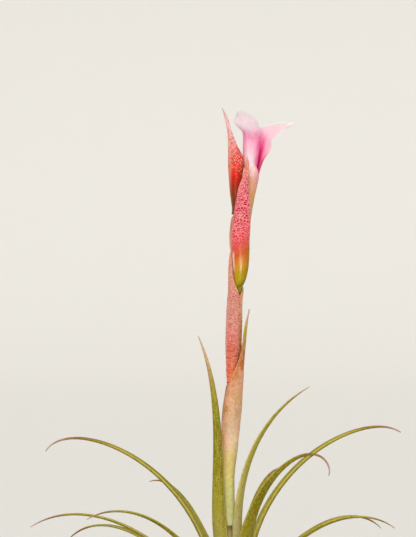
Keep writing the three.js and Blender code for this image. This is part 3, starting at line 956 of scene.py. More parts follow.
@dataclass
class Rosette:
    """The leaves: five tall ones as they stand in the picture, and the rest by the rule of the spiral.

    Each place of the spiral lies a golden angle after the one before, and the leaves of its last places,
    the floor leaves, rest on the ground. The looks of the leaves come from the one skin, with other bands
    and edges for two of them.
    """

    half_width: float = 1.9
    thickness: float = 0.66
    foot_gap: float = 0.3
    places: int = 24
    floor_leaves: int = 7
    golden_angle: float = 137.5
    lift_range: float = 40.0
    halvings: int = 24
    rows: int = 121
    cols: int = 15
    tall_scales: int = 520
    rule_scales: int = 260
    scale_size: float = 0.065
    # Living leaf skin: waxy and a little open to light, yet matt, because dry scales veil it. Its thin
    # margins are paler, and its tip is dead tissue the colour of straw
    skin: Skin = Skin(
        name=Look.DRY.value,
        run=Run.LENGTH,
        bands=(
            (0, "#C9BE8E"), (0.12, "#B4A850"), (0.28, "#9E9224"), (0.42, "#877C04"), (0.52, "#7A7000"),
            (0.62, "#8E8812"), (DRY_PLACE, "#AA9640"), (0.8, "#BE9C64"), (0.88, "#DEB68A"),
            (1, "#E4C8B6"),
        ),
        marks=(
            Marks(
                Pattern.GRAIN, "#A8A02C", (0.3, 3.0), ((0, 0.5), (0.3, 0.6), (0.7, 0.5), (1, 0.1)),
                (0.45, 0.62),
            ),
            Marks(
                Pattern.GRAIN, "#C6BA68", (0.3, 0.4), ((0, 0.4), (0.3, 0.35), (0.7, 0.45), (1, 0.1)),
                (0.52, 0.68),
            ),
            Marks(
                Pattern.DOTS, "#5C5004", (0.6, 0.8), ((0, 0.4), (0.7, 0.55), (1, 0.1)), (0.3, 0.16),
                -0.6,
            ),
        ),
        edges=(
            # Two darker bands between the middle and the margins: painted shade of the cupped blade's sides
            Edge(0.34, 0.16, "#6A5C00", ((0, 0.2), (0.4, 0.8), (0.7, 0.5), (1, 0))),
            Edge(0.66, 0.84, "#827410", ((0, 0.2), (0.4, 0.6), (0.7, 0.5), (1, 0))),
            Edge(0.12, 0.02, "#B6A850", ((0, 1), (0.7, 1), (0.82, 0.2), (1, 0))),
            Edge(0.88, 0.98, "#B6A850", ((0, 1), (0.7, 1), (0.82, 0.2), (1, 0))),
        ),
        roughness=((0, 0.6), (0.5, 0.5), (1, 0.7)),
        drift=0.04,
    )
    brown_tip: tuple[tuple[float, str], ...] = (
        (DRY_PLACE, "#98882C"), (0.8, "#86562A"), (0.88, "#94604C"), (1, "#C4A49C"))
    pale_bands: tuple[tuple[float, str], ...] = (
        (0, "#C9BE8E"), (0.12, "#C4B868"), (0.28, "#B4A84C"), (0.42, "#AAA044"), (0.52, "#A69C44"),
        (0.62, "#AEA250"), (DRY_PLACE, "#A69848"), (0.8, "#9E8A40"), (0.88, "#B29C5E"), (1, "#CCB88C"))
    pale_edges: tuple[Edge, ...] = (Edge(0.14, 0.02, "#D4C890"), Edge(0.86, 0.98, "#D4C890"))
    # Scales of the leaf: dead, air-filled shields, seen as fine silver grain
    scale: Scale = Scale("Leaf shield scales, silver", "#C2B868", "#A39A44")

    def foot_radius(self, height: float) -> float:
        """Gives how far from the stem's axis a leaf's middle line starts."""
        return float(STEM_RADIUS(np.array(height))) + self.foot_gap + self.thickness / 2

    def tall_leaves(self) -> list[Leaf]:
        """Gives the tall leaves, which rise highest.

        Returns:
            The leaves, as they stand in the picture.
        """
        # A row holds a name, the spine's azimuth, height, length, lift, bend, curl and late, its sway and
        # lean, and the leaf's half width, dry place, plumpness and look
        rows = (
            ("left_erect", (222, 12.6, 47.7, 70.5, -160, 174, 1.5), (7, 70), 2, 0.74, 1.0, Look.DRY),
            ("right_erect", (-31, 11.8, 42.9, 100, 30, 41.6, 1.5), (7.5, -28), 1.7, 0.86, 1.1, Look.PALE),
            ("left_arch", (163, 8.8, 52.3, 81.6, 86.9, 52.8, 11.8), (1, 0), 1.7, 0.68, 1.4, Look.BROWN),
            ("right_arch", (10, 9.4, 50.8, 89.3, 92, 30, 12), (14, 0), 1.8, 0.76, 1.5, Look.BROWN),
            ("right_near", (-52, 8.4, 44.6, 94.1, 89.8, 123.6, 12), (8, -10), 2.1, 0.72, 1.2, Look.BROWN),
        )
        return [
            Leaf(f"leaf_{name}", Spine(*line, self.foot_radius(line[1]), *twist), wide, dry, plump, look)
            for name, line, twist, wide, dry, plump, look in rows
        ]

    @staticmethod
    def vary(n: int, salt: int) -> float:
        """Gives a repeatable value between -1 and 1 for the n-th leaf."""
        s = math.sin(n * 12.9898 + salt * 78.233) * 43758.5453
        return 2 * (s - math.floor(s)) - 1

    def rule_leaf(self, n: int) -> Leaf:
        """Gives the n-th leaf of the spiral, from the youngest at the top to the oldest at the foot.

        Each stands a golden angle further round, lower, flatter and longer than the one before, with some
        play in every measure. The oldest are lifted until their lowest point just touches the surface.

        Args:
            n: the leaf's place in the spiral, from 0.

        Returns:
            The leaf.
        """
        age = n / (self.places - 1)
        height = 12.2 - 10.6 * age**0.62
        spine = Spine(
            azimuth=100 + n * self.golden_angle + 5 * self.vary(n, 1),
            height=height,
            length=(22 + 29 * age**0.6) * (1 + 0.07 * self.vary(n, 2)),
            lift=72 - 40 * age + 4 * self.vary(n, 3),
            bend=30 + 26 * age + 8 * self.vary(n, 4),
            curl=42 + 14 * self.vary(n, 5),
            late=3.2,
            radius=self.foot_radius(height),
            sway=12 * self.vary(n, 6),
            lean=16 * self.vary(n, 7),
        )
        wide = self.half_width * (0.86 + 0.14 * age)
        leaf = Leaf(f"leaf_{n + 1:02d}", spine, wide, 0.8 + 0.06 * self.vary(n, 8))
        return self.settled(leaf) if n >= self.places - self.floor_leaves else leaf

    def settled(self, leaf: Leaf) -> Leaf:
        """Finds, by halving a range of lifts, the one at which a leaf's lowest point is at height 0.

        Args:
            leaf: the leaf as the rule of the spiral gives it.

        Returns:
            The leaf with that lift.
        """
        low, high = leaf.spine.lift - self.lift_range, leaf.spine.lift + self.lift_range
        for _ in range(self.halvings):
            middle = (low + high) / 2
            trial = replace(leaf, spine=replace(leaf.spine, lift=middle))
            outer, inner = trial.sheet(rows=61, cols=9, thickness=self.thickness).faces_of()
            sunk = min(outer[..., 2].min(), inner[..., 2].min()) < 0
            low, high = (middle, high) if sunk else (low, middle)
        return replace(leaf, spine=replace(leaf.spine, lift=high))

    def finishes(self) -> dict[Look, bpy.types.Material]:
        """Makes the skin of each look from the common one.

        Returns:
            The materials by look.
        """
        living = tuple(stop for stop in self.skin.bands if stop[0] < DRY_PLACE)
        skins = {
            Look.DRY: self.skin,
            Look.PALE: replace(self.skin, bands=self.pale_bands, edges=self.pale_edges),
            Look.BROWN: replace(self.skin, bands=living + self.brown_tip),
        }
        return {look: replace(skin, name=look.value).build() for look, skin in skins.items()}

    def build(self) -> None:
        """Builds every leaf with its scales, fewer of them towards the tip.

        The second to fifth places of the spiral are left to the tall leaves.
        """
        skins = self.finishes()
        scale = self.scale.build()
        rule = [self.rule_leaf(n) for n in range(self.places) if n == 0 or n >= TALL_LEAVES]
        for number, leaf in enumerate(self.tall_leaves() + rule):
            sheet = leaf.sheet(self.rows, self.cols, self.thickness, seed=number)
            scales = sheet.scales(
                self.tall_scales if number < TALL_LEAVES else self.rule_scales,
                self.scale_size,
                seed=100 + number,
                keep=lambda u, v: smooth_step((1.02 - v) / 0.35) * 0.9 + 0.1,
            )
            piece = make_piece(f"{leaf.name}_blade", [sheet.patch(), scales], [skins[leaf.look], scale])
            dress(piece, "leaf", leaf.name)


# The scape and its bracts


@dataclass
class Scape:
    """The two sheathing bracts of the flower stalk."""

    lower: Sheath = Sheath(
        low=21,
        high=64.2,
        x=Profile((
            (21, -0.55), (31, -0.78), (37, -0.5), (41.6, -0.31), (46, 0.12), (50, 0.46), (52.8, 0.54),
            (55, 0.62), (57, 0.71), (59.8, 0.88), (62, 1.3), (64.2, 1.9),
        )),
        y=Profile(((21, 0), (50, 0.05), (64.2, 0.15))),
        bend=Profile((
            (21, 1.02), (27, 1.04), (31, 1.1), (36, 1.45), (41.6, 1.76), (45, 1.77), (48, 1.61),
            (52, 1.62), (55, 1.72), (57, 1.83), (59.8, 1.95), (62, 1.78), (64.2, 1.58),
        )),
        start=Profile((
            (21, -160), (47, -164), (48.9, -136), (51.5, -99), (53.4, -72), (55.2, -54), (57, -46),
            (59, -43), (61.4, -40), (63, -24), (64.2, -4),
        )),
        end=Profile((
            (21, 186), (47, 184), (48.9, 158), (51.5, 120), (53.4, 92), (55.2, 66), (57, 47), (59, 32),
            (61.4, 19), (64.2, 6),
        )),
        thick=Profile(((21, 0.4), (31, 0.45), (41, 0.5), (50, 0.5), (55, 0.46), (59, 0.38), (64.2, 0.24))),
        creases=((43.8, 0.14, 0.12), (46.9, 0.18, 0.08), (49, 0.26, 0.06), (40.4, 0.12, 0.06)),
    )
    upper: Sheath = Sheath(
        low=47.2,
        high=75.8,
        x=Profile((
            (47.2, 0.15), (51, 0.14), (55, 0.31), (60, 0.48), (66, 0.66), (68, 0.9), (70, 0.82),
            (72, 0.7), (74, 0.52), (75.8, 0.42),
        )),
        y=Profile(((47.2, 0), (66, 0), (70, 0.1), (75.8, 0.15))),
        bend=Profile((
            (47.2, 0.8), (50, 0.93), (53, 1.12), (56, 1.33), (60, 1.42), (66, 1.35), (68, 1.38),
            (70, 1.3), (72, 1.14), (74, 0.98), (75.8, 0.8),
        )),
        start=Profile((
            (47.2, -58), (65, -58), (66.8, -46), (68, -28), (68.9, 10), (69.9, 60), (72, 100), (74, 150),
            (75.8, 208),
        )),
        end=Profile((
            (47.2, 314), (64, 316), (66.4, 306), (68.2, 276), (70.5, 247), (72, 242), (74, 240),
            (75.8, 226),
        )),
        thick=Profile(((47.2, 0.44), (54, 0.56), (66, 0.56), (73, 0.5), (75.8, 0.3))),
        spiral=0.3,
    )
    # Drying sheath tissue: papery and slightly glossy, with cream flecks, rusty margins and fine creases
    lower_skin: Skin = Skin(
        name="Scape sheath skin, tan to pale green",
        bands=(
            (21, "#D8DCA0"), (28, "#DAD888"), (31.5, "#E2D47C"), (35, "#E6CE86"), (38, "#F0D4AC"),
            (41, "#D6B490"), (44, "#C8A672"), (47, "#D6A070"), (50, "#D29668"), (52.6, "#CA7238"),
            (54.6, "#B46426"), (56, "#B47416"), (57.4, "#9C8006"), (60, "#BCA61E"), (61.4, "#C8AE5C"),
            (62.6, "#D6BEA2"), (64.2, "#C6BABE"),
        ),
        marks=(
            Marks(
                Pattern.GRAIN, "#ECB49C", (1.5, 2.4),
                ((21, 0), (34, 0.1), (38, 0.5), (47, 0.45), (54, 0.4), (64.2, 0)), (0.44, 0.62), 0.0,
            ),
            Marks(
                Pattern.GRAIN, "#F6DCC4", (0.45, 0.4),
                ((21, 0.1), (36, 0.25), (50, 0.2), (56, 0.1), (64.2, 0)), (0.5, 0.64),
            ),
            Marks(
                Pattern.GRAIN, "#A8602C", (0.7, 0.26),
                ((21, 0.05), (38, 0.1), (46, 0.25), (54, 0.3), (57, 0.1), (64.2, 0)), (0.58, 0.68), -0.5,
            ),
            # A brown line along the crease at 43.8 mm: partly its own colour, partly painted shade in the
            # crease
            Marks(
                Pattern.GRAIN, "#9C5830", (1.4, 0.24),
                ((21, 0), (43.2, 0), (43.5, 0.4), (43.9, 0.4), (44.2, 0), (64.2, 0)), (0.46, 0.58), -0.5,
            ),
        ),
        edges=(
            Edge(
                0.2, 0.06, "#C47434",
                ((21, 0), (32, 0.1), (37, 0.7), (42, 0.8), (53, 0.5), (57, 0), (64.2, 0)),
            ),
            Edge(0.3, 0.44, "#BCA85C", ((21, 0.8), (34, 0.6), (38, 0.25), (42, 0), (64.2, 0))),
            Edge(0.03, 0.0, "#F2C49C", ((21, 0), (40, 0.6), (53, 1), (57, 0), (64.2, 0))),
        ),
        inside="#B8863C",
        roughness=((21, 0.36), (64.2, 0.5)),
        subsurface=0.15,
    )
    # Living bract skin: rose red and waxy, under a net of pale scales that breaks up its gloss
    upper_skin: Skin = Skin(
        name="Scape bract skin, rose with silver net",
        bands=(
            (47.2, "#D04A1E"), (50, "#FF7844"), (52, "#EA7044"), (54, "#E87A5C"), (56, "#DE5C44"),
            (59, "#E27876"), (62, "#D07C74"), (66, "#CE6C6A"), (70, "#CE7862"), (75.8, "#F69A7C"),
        ),
        marks=(
            Marks(
                Pattern.NET, "#F0BCA8", (0.56, 0.36),
                ((47.2, 0.1), (54, 0.2), (59, 0.35), (64, 0.65), (75.8, 0.6)), (0.2, 0.03),
            ),
            Marks(
                Pattern.DOTS, "#C0A070", (0.7, 0.5), ((47.2, 0), (60, 0.1), (64, 0.5), (75.8, 0.5)),
                (0.36, 0.16),
            ),
            Marks(
                Pattern.GRAIN, "#9A2018", (1.3, 0.17), ((47.2, 0.5), (56, 0.7), (60, 0.4), (75.8, 0.1)),
                (0.51, 0.62), -0.6,
            ),
        ),
        edges=(
            # Pale rose over the back and left, fullest at the left silhouette: a painted sheen of scales at
            # the rim
            Edge(0.78, 0.67, "#F2AE9A", ((47.2, 0.5), (60, 0.6), (75.8, 0.6))),
            Edge(0.84, 0.98, "#BC6C48", ((47.2, 0.8), (60, 0.7), (66, 0.5), (75.8, 0.3))),
            # Orange strip beside the outer margin: its own orange, painted lighter to lift the shadow that
            # the overlapping margin casts on it
            Edge(0.3, 0.2, "#EC984C", ((47.2, 1), (60, 1), (65, 0.7), (70, 0.8), (75.8, 0.4))),
            Edge(0.985, 1.0, "#A05028"),
        ),
        inside="#E8B8A8",
        roughness=((47.2, 0.4), (60, 0.5), (75.8, 0.5)),
    )
    # Scales of the bracts: pale shields, seen as soft pink grain
    scale: Scale = Scale("Bract shield scales, pale rose", "#F0C8B4", "#DCA08C")

    def build(self) -> None:
        """Builds both bracts with their scales."""
        scale = self.scale.build()
        lower = self.lower.sheet(rows=300, cols=81, grain=0.035, seed=5)
        upper = self.upper.sheet(rows=220, cols=73, grain=0.05, seed=6)
        patches = [lower.patch(), lower.scales(count=400, size=0.05, seed=21)]
        piece = make_piece("sheath_lower", patches, [self.lower_skin.build(), scale])
        dress(piece, "scape_bract_lower", "scape_bract_lower")
        patches = [upper.patch(), upper.scales(count=1500, size=0.06, seed=22)]
        piece = make_piece("sheath_upper", patches, [self.upper_skin.build(), scale])
        dress(piece, "scape_bract_upper", "scape_bract_upper")


@dataclass
class FloralBracts:
    """The boat-shaped bract of the open flower, and the rolled cone with the bud on the left.

    The boat has no scales on its lowest millimetres, the bare foot, and they grow dense over the bare fade.
    """

    front: Sheath = Sheath(
        low=67.6,
        high=94.8,
        x=Profile((
            (67.6, 1.4), (68.4, 1.4), (69.2, 1.52), (71.5, 1.75), (74, 1.78), (78, 1.72), (82, 1.94),
            (86, 2.22), (88.4, 2.32), (90, 2.6), (92, 2.92), (94.8, 3.15),
        )),
        y=Profile((
            (67.6, -0.8), (69.2, -0.85), (71.5, -0.68), (75, -0.6), (82, -0.6), (88, -0.62), (92, -0.7),
            (94.8, -0.66),
        )),
        bend=Profile((
            (67.6, 0.16), (68.3, 0.36), (69, 0.62), (70, 0.95), (72, 1.34), (75, 1.64), (78, 1.76),
            (82, 1.76), (86, 1.36), (88.4, 1), (90, 0.66), (92, 0.4), (94.8, 0.16),
        )),
        start=Profile(((67.6, -215), (70, -198), (73, -186), (78, -178), (94.8, -176))),
        end=Profile(((67.6, 35), (70, 12), (73, 2), (78, -3), (82, -7), (86, -10), (90, -8), (94.8, -4))),
        thick=Profile(((67.6, 0.2), (68.4, 0.34), (70, 0.52), (88, 0.52), (91, 0.4), (94.8, 0.2))),
        smooth_below=74.0,
    )
    left: Sheath = Sheath(
        low=83.1,
        high=104.4,
        x=Profile((
            (83.1, 0.68), (84.1, 0.92), (85.6, 0.9), (87.4, 0.78), (90, 0.82), (93.3, 0.97),
            (94.3, 0.93), (95.5, 0.68), (96.8, 0.31), (98.9, -0.16), (100.5, -0.57), (103.1, -1.25),
            (104.4, -1.82),
        )),
        y=Profile(((83.1, 0.6), (88, 0.6), (93.4, 0.7), (98, 0.4), (104.4, 0.1))),
        bend=Profile((
            (83.1, 0.66), (84.1, 0.76), (85.6, 0.88), (87.4, 0.98), (90, 1.22), (93.3, 1.55),
            (94.3, 1.48), (95.5, 1.25), (96.8, 0.89), (98.9, 0.52), (100.5, 0.34), (103.1, 0.26),
            (104.4, 0.1),
        )),
        start=Profile(((83.1, 45), (93, 40), (96, 60), (99, 80), (102, 95), (104.4, 150))),
        end=Profile((
            (83.1, 325), (88, 334), (93, 350), (96, 340), (99, 328), (102.6, 320), (103.4, 270),
            (104.4, 235),
        )),
        thick=Profile((
            (83.1, 0.26), (84.4, 0.34), (87, 0.42), (93, 0.5), (97, 0.44), (101, 0.32), (104.4, 0.18),
        )),
        smooth_below=91.0,
    )
    # Living bract skin: its bare green and tan foot is glossy like wax, and its rose upper part is matt
    # under a net of pale scales
    front_skin: Skin = Skin(
        name="Floral bract skin, green foot to rose",
        bands=(
            (67.6, "#9CA00C"), (68.8, "#7C7400"), (70, "#BAA400"), (71, "#B69800"), (72.4, "#D29E16"),
            (73.6, "#DC8A36"), (74.8, "#DA6424"), (76, "#DC5C34"), (77.4, "#E03C2C"), (79, "#E83C42"),
            (82, "#C21632"), (85.5, "#C22040"), (88.5, "#C23A46"), (90.5, "#CC705A"), (92.5, "#E08C5C"),
            (94.8, "#DC8E66"),
        ),
        marks=(
            Marks(
                Pattern.NET, "#FF9CA2", (0.6, 0.42),
                ((67.6, 0), (75.4, 0), (77.6, 0.35), (80, 0.8), (90, 0.85), (94.8, 0.5)), (0.2, 0.03),
            ),
            Marks(
                Pattern.GRAIN, "#C01C3C", (0.5, 0.24),
                ((67.6, 0), (75.4, 0), (78, 0.5), (90, 0.6), (94.8, 0.3)), (0.54, 0.66), -0.8,
            ),
        ),
        edges=(
            Edge(0.74, 0.95, "#DC9870", ((67.6, 0), (73, 0.1), (77, 0.7), (94.8, 0.9))),
            Edge(0.05, 0.0, "#FCC4A0", ((67.6, 0.3), (72, 0.8), (94.8, 1))),
            # Darker orange-brown over the right of the foot: partly its own colour, partly painted shade on
            # the side away from the light
            Edge(
                0.5, 0.8, "#A46600",
                ((67.6, 0), (69, 0.4), (71, 0.6), (74.5, 0.7), (76.5, 0.3), (78, 0), (94.8, 0)),
            ),
            # A cream band near the left margin of the bare foot: a painted highlight
            Edge(
                0.3, 0.2, "#FFD8B4",
                ((67.6, 0), (72.8, 0), (73.8, 0.85), (76.2, 0.85), (77.2, 0), (94.8, 0)),
            ),
        ),
        lean=4.0,
        inside="#E8A488",
        roughness=((67.6, 0.2), (75, 0.22), (79, 0.42), (94.8, 0.5)),
        coat=0.14,
        coat_roughness=0.16,
        specular=0.1,
        sheen=0.06,
    )
    # Living bract skin: its bare foot is deep red and glossy, and its tip fades under pale dots of scales
    left_skin: Skin = Skin(
        name="Bud bract skin, glossy red with pale dots",
        bands=(
            (83.1, "#603E08"), (85, "#80380A"), (86.4, "#863A08"), (88, "#9A3006"), (89.6, "#C22202"),
            (91, "#D82208"), (92.6, "#EE4026"), (94.4, "#E4423E"), (96.4, "#E8706A"), (98, "#EC9494"),
            (99.6, "#F0ACAC"), (101.6, "#FABECC"), (104.4, "#CC98A0"),
        ),
        marks=(
            Marks(
                Pattern.DOTS, "#FFE0C8", (0.42, 0.38),
                ((83.1, 0), (91.4, 0), (93, 0.35), (94.6, 0.7), (97, 0.8), (99, 0.5), (104.4, 0.2)),
                (0.38, 0.2),
            ),
            Marks(
                Pattern.GRAIN, "#FFE4DC", (0.24, 1.4),
                ((83.1, 0), (94.6, 0), (97, 0.35), (100, 0.5), (104.4, 0.3)), (0.5, 0.62),
            ),
            Marks(
                Pattern.GRAIN, "#B41C14", (0.3, 0.7),
                ((83.1, 0), (91, 0.2), (96, 0.6), (99, 0.5), (104.4, 0.1)), (0.52, 0.66), -0.5,
            ),
        ),
        edges=(
            # Darker orange-brown at the right margin: partly its own colour, partly painted shade on the
            # side away from the light
            Edge(0.8, 0.94, "#AC4410", ((83.1, 0.6), (90, 0.8), (93, 0.9), (97, 0.5), (104.4, 0.3))),
            # Pale salmon over the back and left, fullest at the left silhouette: a painted sheen of scales
            # at the rim
            Edge(0.68, 0.55, "#EC9A80", ((83.1, 0.1), (88, 0.3), (91, 0.7), (96, 0.8), (104.4, 1))),
        ),
        inside="#F0B8A8",
        roughness=((83.1, 0.18), (91, 0.18), (95, 0.34), (104.4, 0.5)),
        coat=0.14,
        coat_roughness=0.18,
        specular=0.1,
        sheen=0.06,
    )
    bare_foot: float = 9.0
    bare_fade: float = 4.0
    # Scales of the floral bracts: cream shields that catch the light along the edge
    scale: Scale = Scale("Floral bract scales, cream pink", "#FFDACB", "#F6B4A6")

    def build(self) -> None:
        """Builds the two bracts with their scales."""
        scale = self.scale.build()
        front = self.front.sheet(rows=230, cols=61, grain=0.05, seed=7)
        left = self.left.sheet(rows=180, cols=73, grain=0.04, seed=8)
        high = self.front.high - self.front.low
        scales = front.scales(
            count=1000, size=0.055, seed=23,
            keep=lambda u, v: smooth_step((v * high - self.bare_foot) / self.bare_fade),
        )
        piece = make_piece("floral_bract_boat", [front.patch(), scales], [self.front_skin.build(), scale])
        dress(piece, "floral_bract", "floral_bract_front")
        scales = left.scales(count=800, size=0.07, seed=24, keep=lambda u, v: smooth_step((v - 0.3) / 0.3))
        piece = make_piece("floral_bract_cone", [left.patch(), scales], [self.left_skin.build(), scale])
        dress(piece, "floral_bract", "floral_bract_left")


# The flowers

FLOWER_X = Profile((
    (69.4, 1.45), (71, 1.74), (73, 1.94), (76, 2.14), (80, 2.46), (83, 2.78), (86, 3.28), (88.4, 3.76),
    (90.6, 4.15), (92.6, 4.4), (96, 4.5),
))
FLOWER_Y = Profile(((69.4, 0.1), (76, 0.25), (83, 0.5), (88.4, 0.62), (96, 0.6)))
PETAL_THICKNESS = Profile(((0, 0.3), (0.5, 0.34), (0.9, 0.26), (1, 0.14)))
PETAL_CROWDING = 1.4
SIDE_VEINS = 7
VEIN_HEIGHT = 0.012
ANTHER_LOW = 93.4
ANTHER_HIGH = 96.6


@dataclass(frozen=True)
class Petal:
    """One petal, from its claw in the throat to its spread limb, drawn between two margins.

    The margins are curves over the share of the way along: x, y and z in millimetres. The belly is how
    far the middle line stands off the straight line between them, and the frill how far the margins wave.
    """

    left: tuple[Profile, Profile, Profile]
    right: tuple[Profile, Profile, Profile]
    belly: Profile
    frill: float = 0.12
    waves: float = 5.0
    turn: int = 1

    def sheet(self, rows: int, cols: int) -> Sheet:
        """Works out the petal's surface.

        A row goes straight from one margin to the other and is pushed out at a right angle by the belly,
        times one less the square of the distance from its middle. The margins wave as a sine of the way
        along, more towards the tip. A cosine across makes the middle vein and seven on each side of it,
        which fade towards the tip. Rows stand closer at the tip.

        Args:
            rows: steps along the petal.
            cols: steps from margin to margin.

        Returns:
            The sheet.
        """
        t = 1 - (1 - np.linspace(0, 1, rows)) ** PETAL_CROWDING
        left, right = (np.stack([curve(t) for curve in margin], -1) for margin in (self.left, self.right))
        share = np.linspace(-1, 1, cols)
        way = (share[None, :, None] + 1) / 2
        chord = left[:, None] * (1 - way) + right[:, None] * way
        along = np.gradient((left + right) / 2, axis=0)
        out = unit(np.cross(right - left, along))[:, None]
        belly = self.belly(t)[:, None] * (1 - share**2)
        wave = np.sin(2 * np.pi * self.waves * t)[:, None] * share * share**2 * self.frill
        wave *= smooth_step((t - 0.45) / 0.4)[:, None]
        middle = chord + out * (belly + wave)[..., None]
        thick = np.broadcast_to(PETAL_THICKNESS(t)[:, None], belly.shape)
        ripple = np.cos(2 * SIDE_VEINS * np.pi * share)[None, :]
        veins = VEIN_HEIGHT * ripple * smooth_step((1 - t) / 0.3)[:, None]
        return Sheet(middle, thick, turn=self.turn, relief=veins)


def curves(*rows: tuple[float, float, float, float]) -> tuple[Profile, Profile, Profile]:
    """Turns rows of (share, x, y, z) into one curve for each of x, y and z."""
    return tuple(Profile(tuple((row[0], row[axis]) for row in rows)) for axis in (1, 2, 3))


@dataclass
class Flower:
    """The open flower: three sepals, three petals and the bundle of style and anthers, and the next bud."""

    front_petal: Petal = Petal(
        left=curves(
            (0, 3.3, 0.5, 88.4), (0.16, 2.7, 0.5, 91), (0.3, 2.3, 0.5, 93.6), (0.44, 2.16, 0.3, 96),
            (0.58, 2.18, 0, 98.4), (0.68, 1.95, -0.3, 99.7), (0.79, 0.5, -0.7, 101.3),
            (0.87, 0.72, -0.9, 102.6), (0.94, 1.0, -1.1, 103.5), (1, 1.4, -1.2, 103.85),
        ),
        right=curves(
            (0, 4.2, 0.5, 88.4), (0.16, 4.7, 0.3, 90.8), (0.3, 5.1, 0.2, 93.2), (0.44, 5.5, 0.1, 95.8),
            (0.58, 5.7, 0, 98), (0.68, 5.85, -0.3, 99.1), (0.79, 5.3, -0.6, 100.7),
            (0.87, 5.05, -0.8, 101.8), (0.94, 3.9, -1.1, 102.9), (1, 2.3, -1.2, 103.75),
        ),
        belly=Profile(((0, 0.35), (0.2, 0.8), (0.35, 1.25), (0.55, 1.2), (0.7, 0.7), (0.85, 0.25), (1, 0))),
    )
    right_petal: Petal = Petal(
        left=curves(
            (0, 3.6, 0.9, 88.4), (0.2, 3.9, 1.2, 91.6), (0.35, 4.0, 1.4, 94), (0.5, 4.1, 1.5, 96.4),
            (0.62, 4.3, 1.5, 98.8), (0.72, 5.1, 1.4, 100.3), (0.8, 6.4, 1.3, 100.9),
            (0.9, 8.6, 1, 101.4), (1, 12.1, 0.6, 101.5),
        ),
        right=curves(
            (0, 4.6, 0.6, 88.4), (0.2, 5.45, 0.4, 91.4), (0.35, 6.4, 0.2, 94), (0.5, 7.3, 0, 95.2),
            (0.6, 7.85, -0.1, 96.4), (0.7, 8.1, -0.1, 98), (0.8, 9.0, 0, 98.9), (0.9, 10.4, 0.2, 99.95),
            (1, 12.3, 0.5, 101.1),
        ),
        belly=Profile(((0, -0.3), (0.2, -0.5), (0.4, -0.8), (0.6, -0.7), (0.8, -0.3), (1, 0))),
        frill=0.2,
        turn=-1,
    )
    back_petal: Petal = Petal(
        left=curves(
            (0, 3.5, 0.8, 88.4), (0.2, 3.3, 1.2, 91.4), (0.4, 3.2, 1.5, 94.6), (0.6, 3.1, 2, 97.2),
            (0.75, 3.2, 2.9, 98.6), (0.88, 3.7, 4, 99.5), (1, 4.6, 4.8, 99.9),
        ),
        right=curves(
            (0, 4.4, 1, 88.4), (0.2, 5, 1.4, 91.4), (0.4, 5.5, 1.6, 94.4), (0.6, 6.0, 2.1, 96.8),
            (0.75, 6.4, 3, 98.4), (0.88, 6.3, 4.1, 99.4), (1, 5.4, 4.8, 99.9),
        ),
        belly=Profile(((0, -0.3), (0.2, -0.6), (0.5, -0.8), (0.8, -0.4), (1, 0))),
        turn=-1,
    )
    # Petal tissue: thin and wet inside, so light passes into it and comes back pink from the throat
    front_skin: Skin = Skin(
        name="Front petal skin, pale pink and translucent",
        bands=(
            (88.4, "#F4DCDE"), (92, "#FFFCFC"), (94, "#FFE0E8"), (95.6, "#FFCCDA"), (97.2, "#FFB4D0"),
            (98.4, "#EE8EB4"), (99.3, "#E2A2BE"), (100, "#E8C0CE"), (100.8, "#E8D0DA"),
            (102.4, "#E6D2DA"), (103.8, "#DACED0"),
        ),
        marks=(Marks(Pattern.GRAIN, "#FFF4F6", (0.3, 1.2), ((88.4, 0.15), (103.8, 0.15)), (0.42, 0.62)),),
        # Pink towards both margins leaves the nearly white middle of the bands as a painted highlight down
        # the convex claw
        edges=(
            Edge(
                0.36, 0.0, "#FA88B2",
                ((88.4, 0.6), (95, 0.8), (98.4, 0.6), (99.8, 0.1), (100.4, 0), (103.8, 0)),
            ),
            Edge(0.56, 0.94, "#FF60A6", ((88.4, 1), (97.4, 1), (98.6, 0.5), (99.8, 0), (103.8, 0))),
        ),
        roughness=((88.4, 0.3), (96, 0.32), (103.8, 0.5)),
        subsurface=0.4,
        subsurface_depth=0.8,
        relief=0.01,
        mottle=0.02,
    )
    # The same tissue turned outwards: deep magenta in the throat and nearly white along the margins
    right_skin: Skin = Skin(
        name="Right petal skin, magenta throat to white edge",
        run=Run.LENGTH,
        bands=(
            (0, "#C0044C"), (0.2, "#D80860"), (0.3, "#E81C74"), (0.42, "#FA4C98"), (0.5, "#FC7CB8"),
            (0.56, "#FCA2C8"), (0.61, "#FCC0D4"), (0.66, "#F6CAD8"), (0.75, "#EACCD4"),
            (0.85, "#E4D0D6"), (1, "#F2ECEA"),
        ),
        marks=(Marks(Pattern.GRAIN, "#FFF0F4", (0.3, 0.6), ((0, 0), (0.5, 0.05), (1, 0.2)), (0.42, 0.62)),),
        edges=(
            Edge(0.5, 0.74, "#FBC6D4", ((0, 0), (0.26, 0.2), (0.4, 0.8), (0.5, 1), (0.7, 0.6), (1, 0.2))),
            Edge(0.1, 0.02, "#FFF8F6", ((0, 0), (0.6, 0), (0.75, 0.9), (1, 1))),
            Edge(0.94, 1.0, "#FFF4F2", ((0, 0), (0.5, 0.4), (0.75, 0.8), (1, 1))),
        ),
        roughness=((0, 0.35), (1, 0.45)),
        subsurface=0.5,
        subsurface_depth=0.7,
        relief=0.01,
        mottle=0.03,
    )
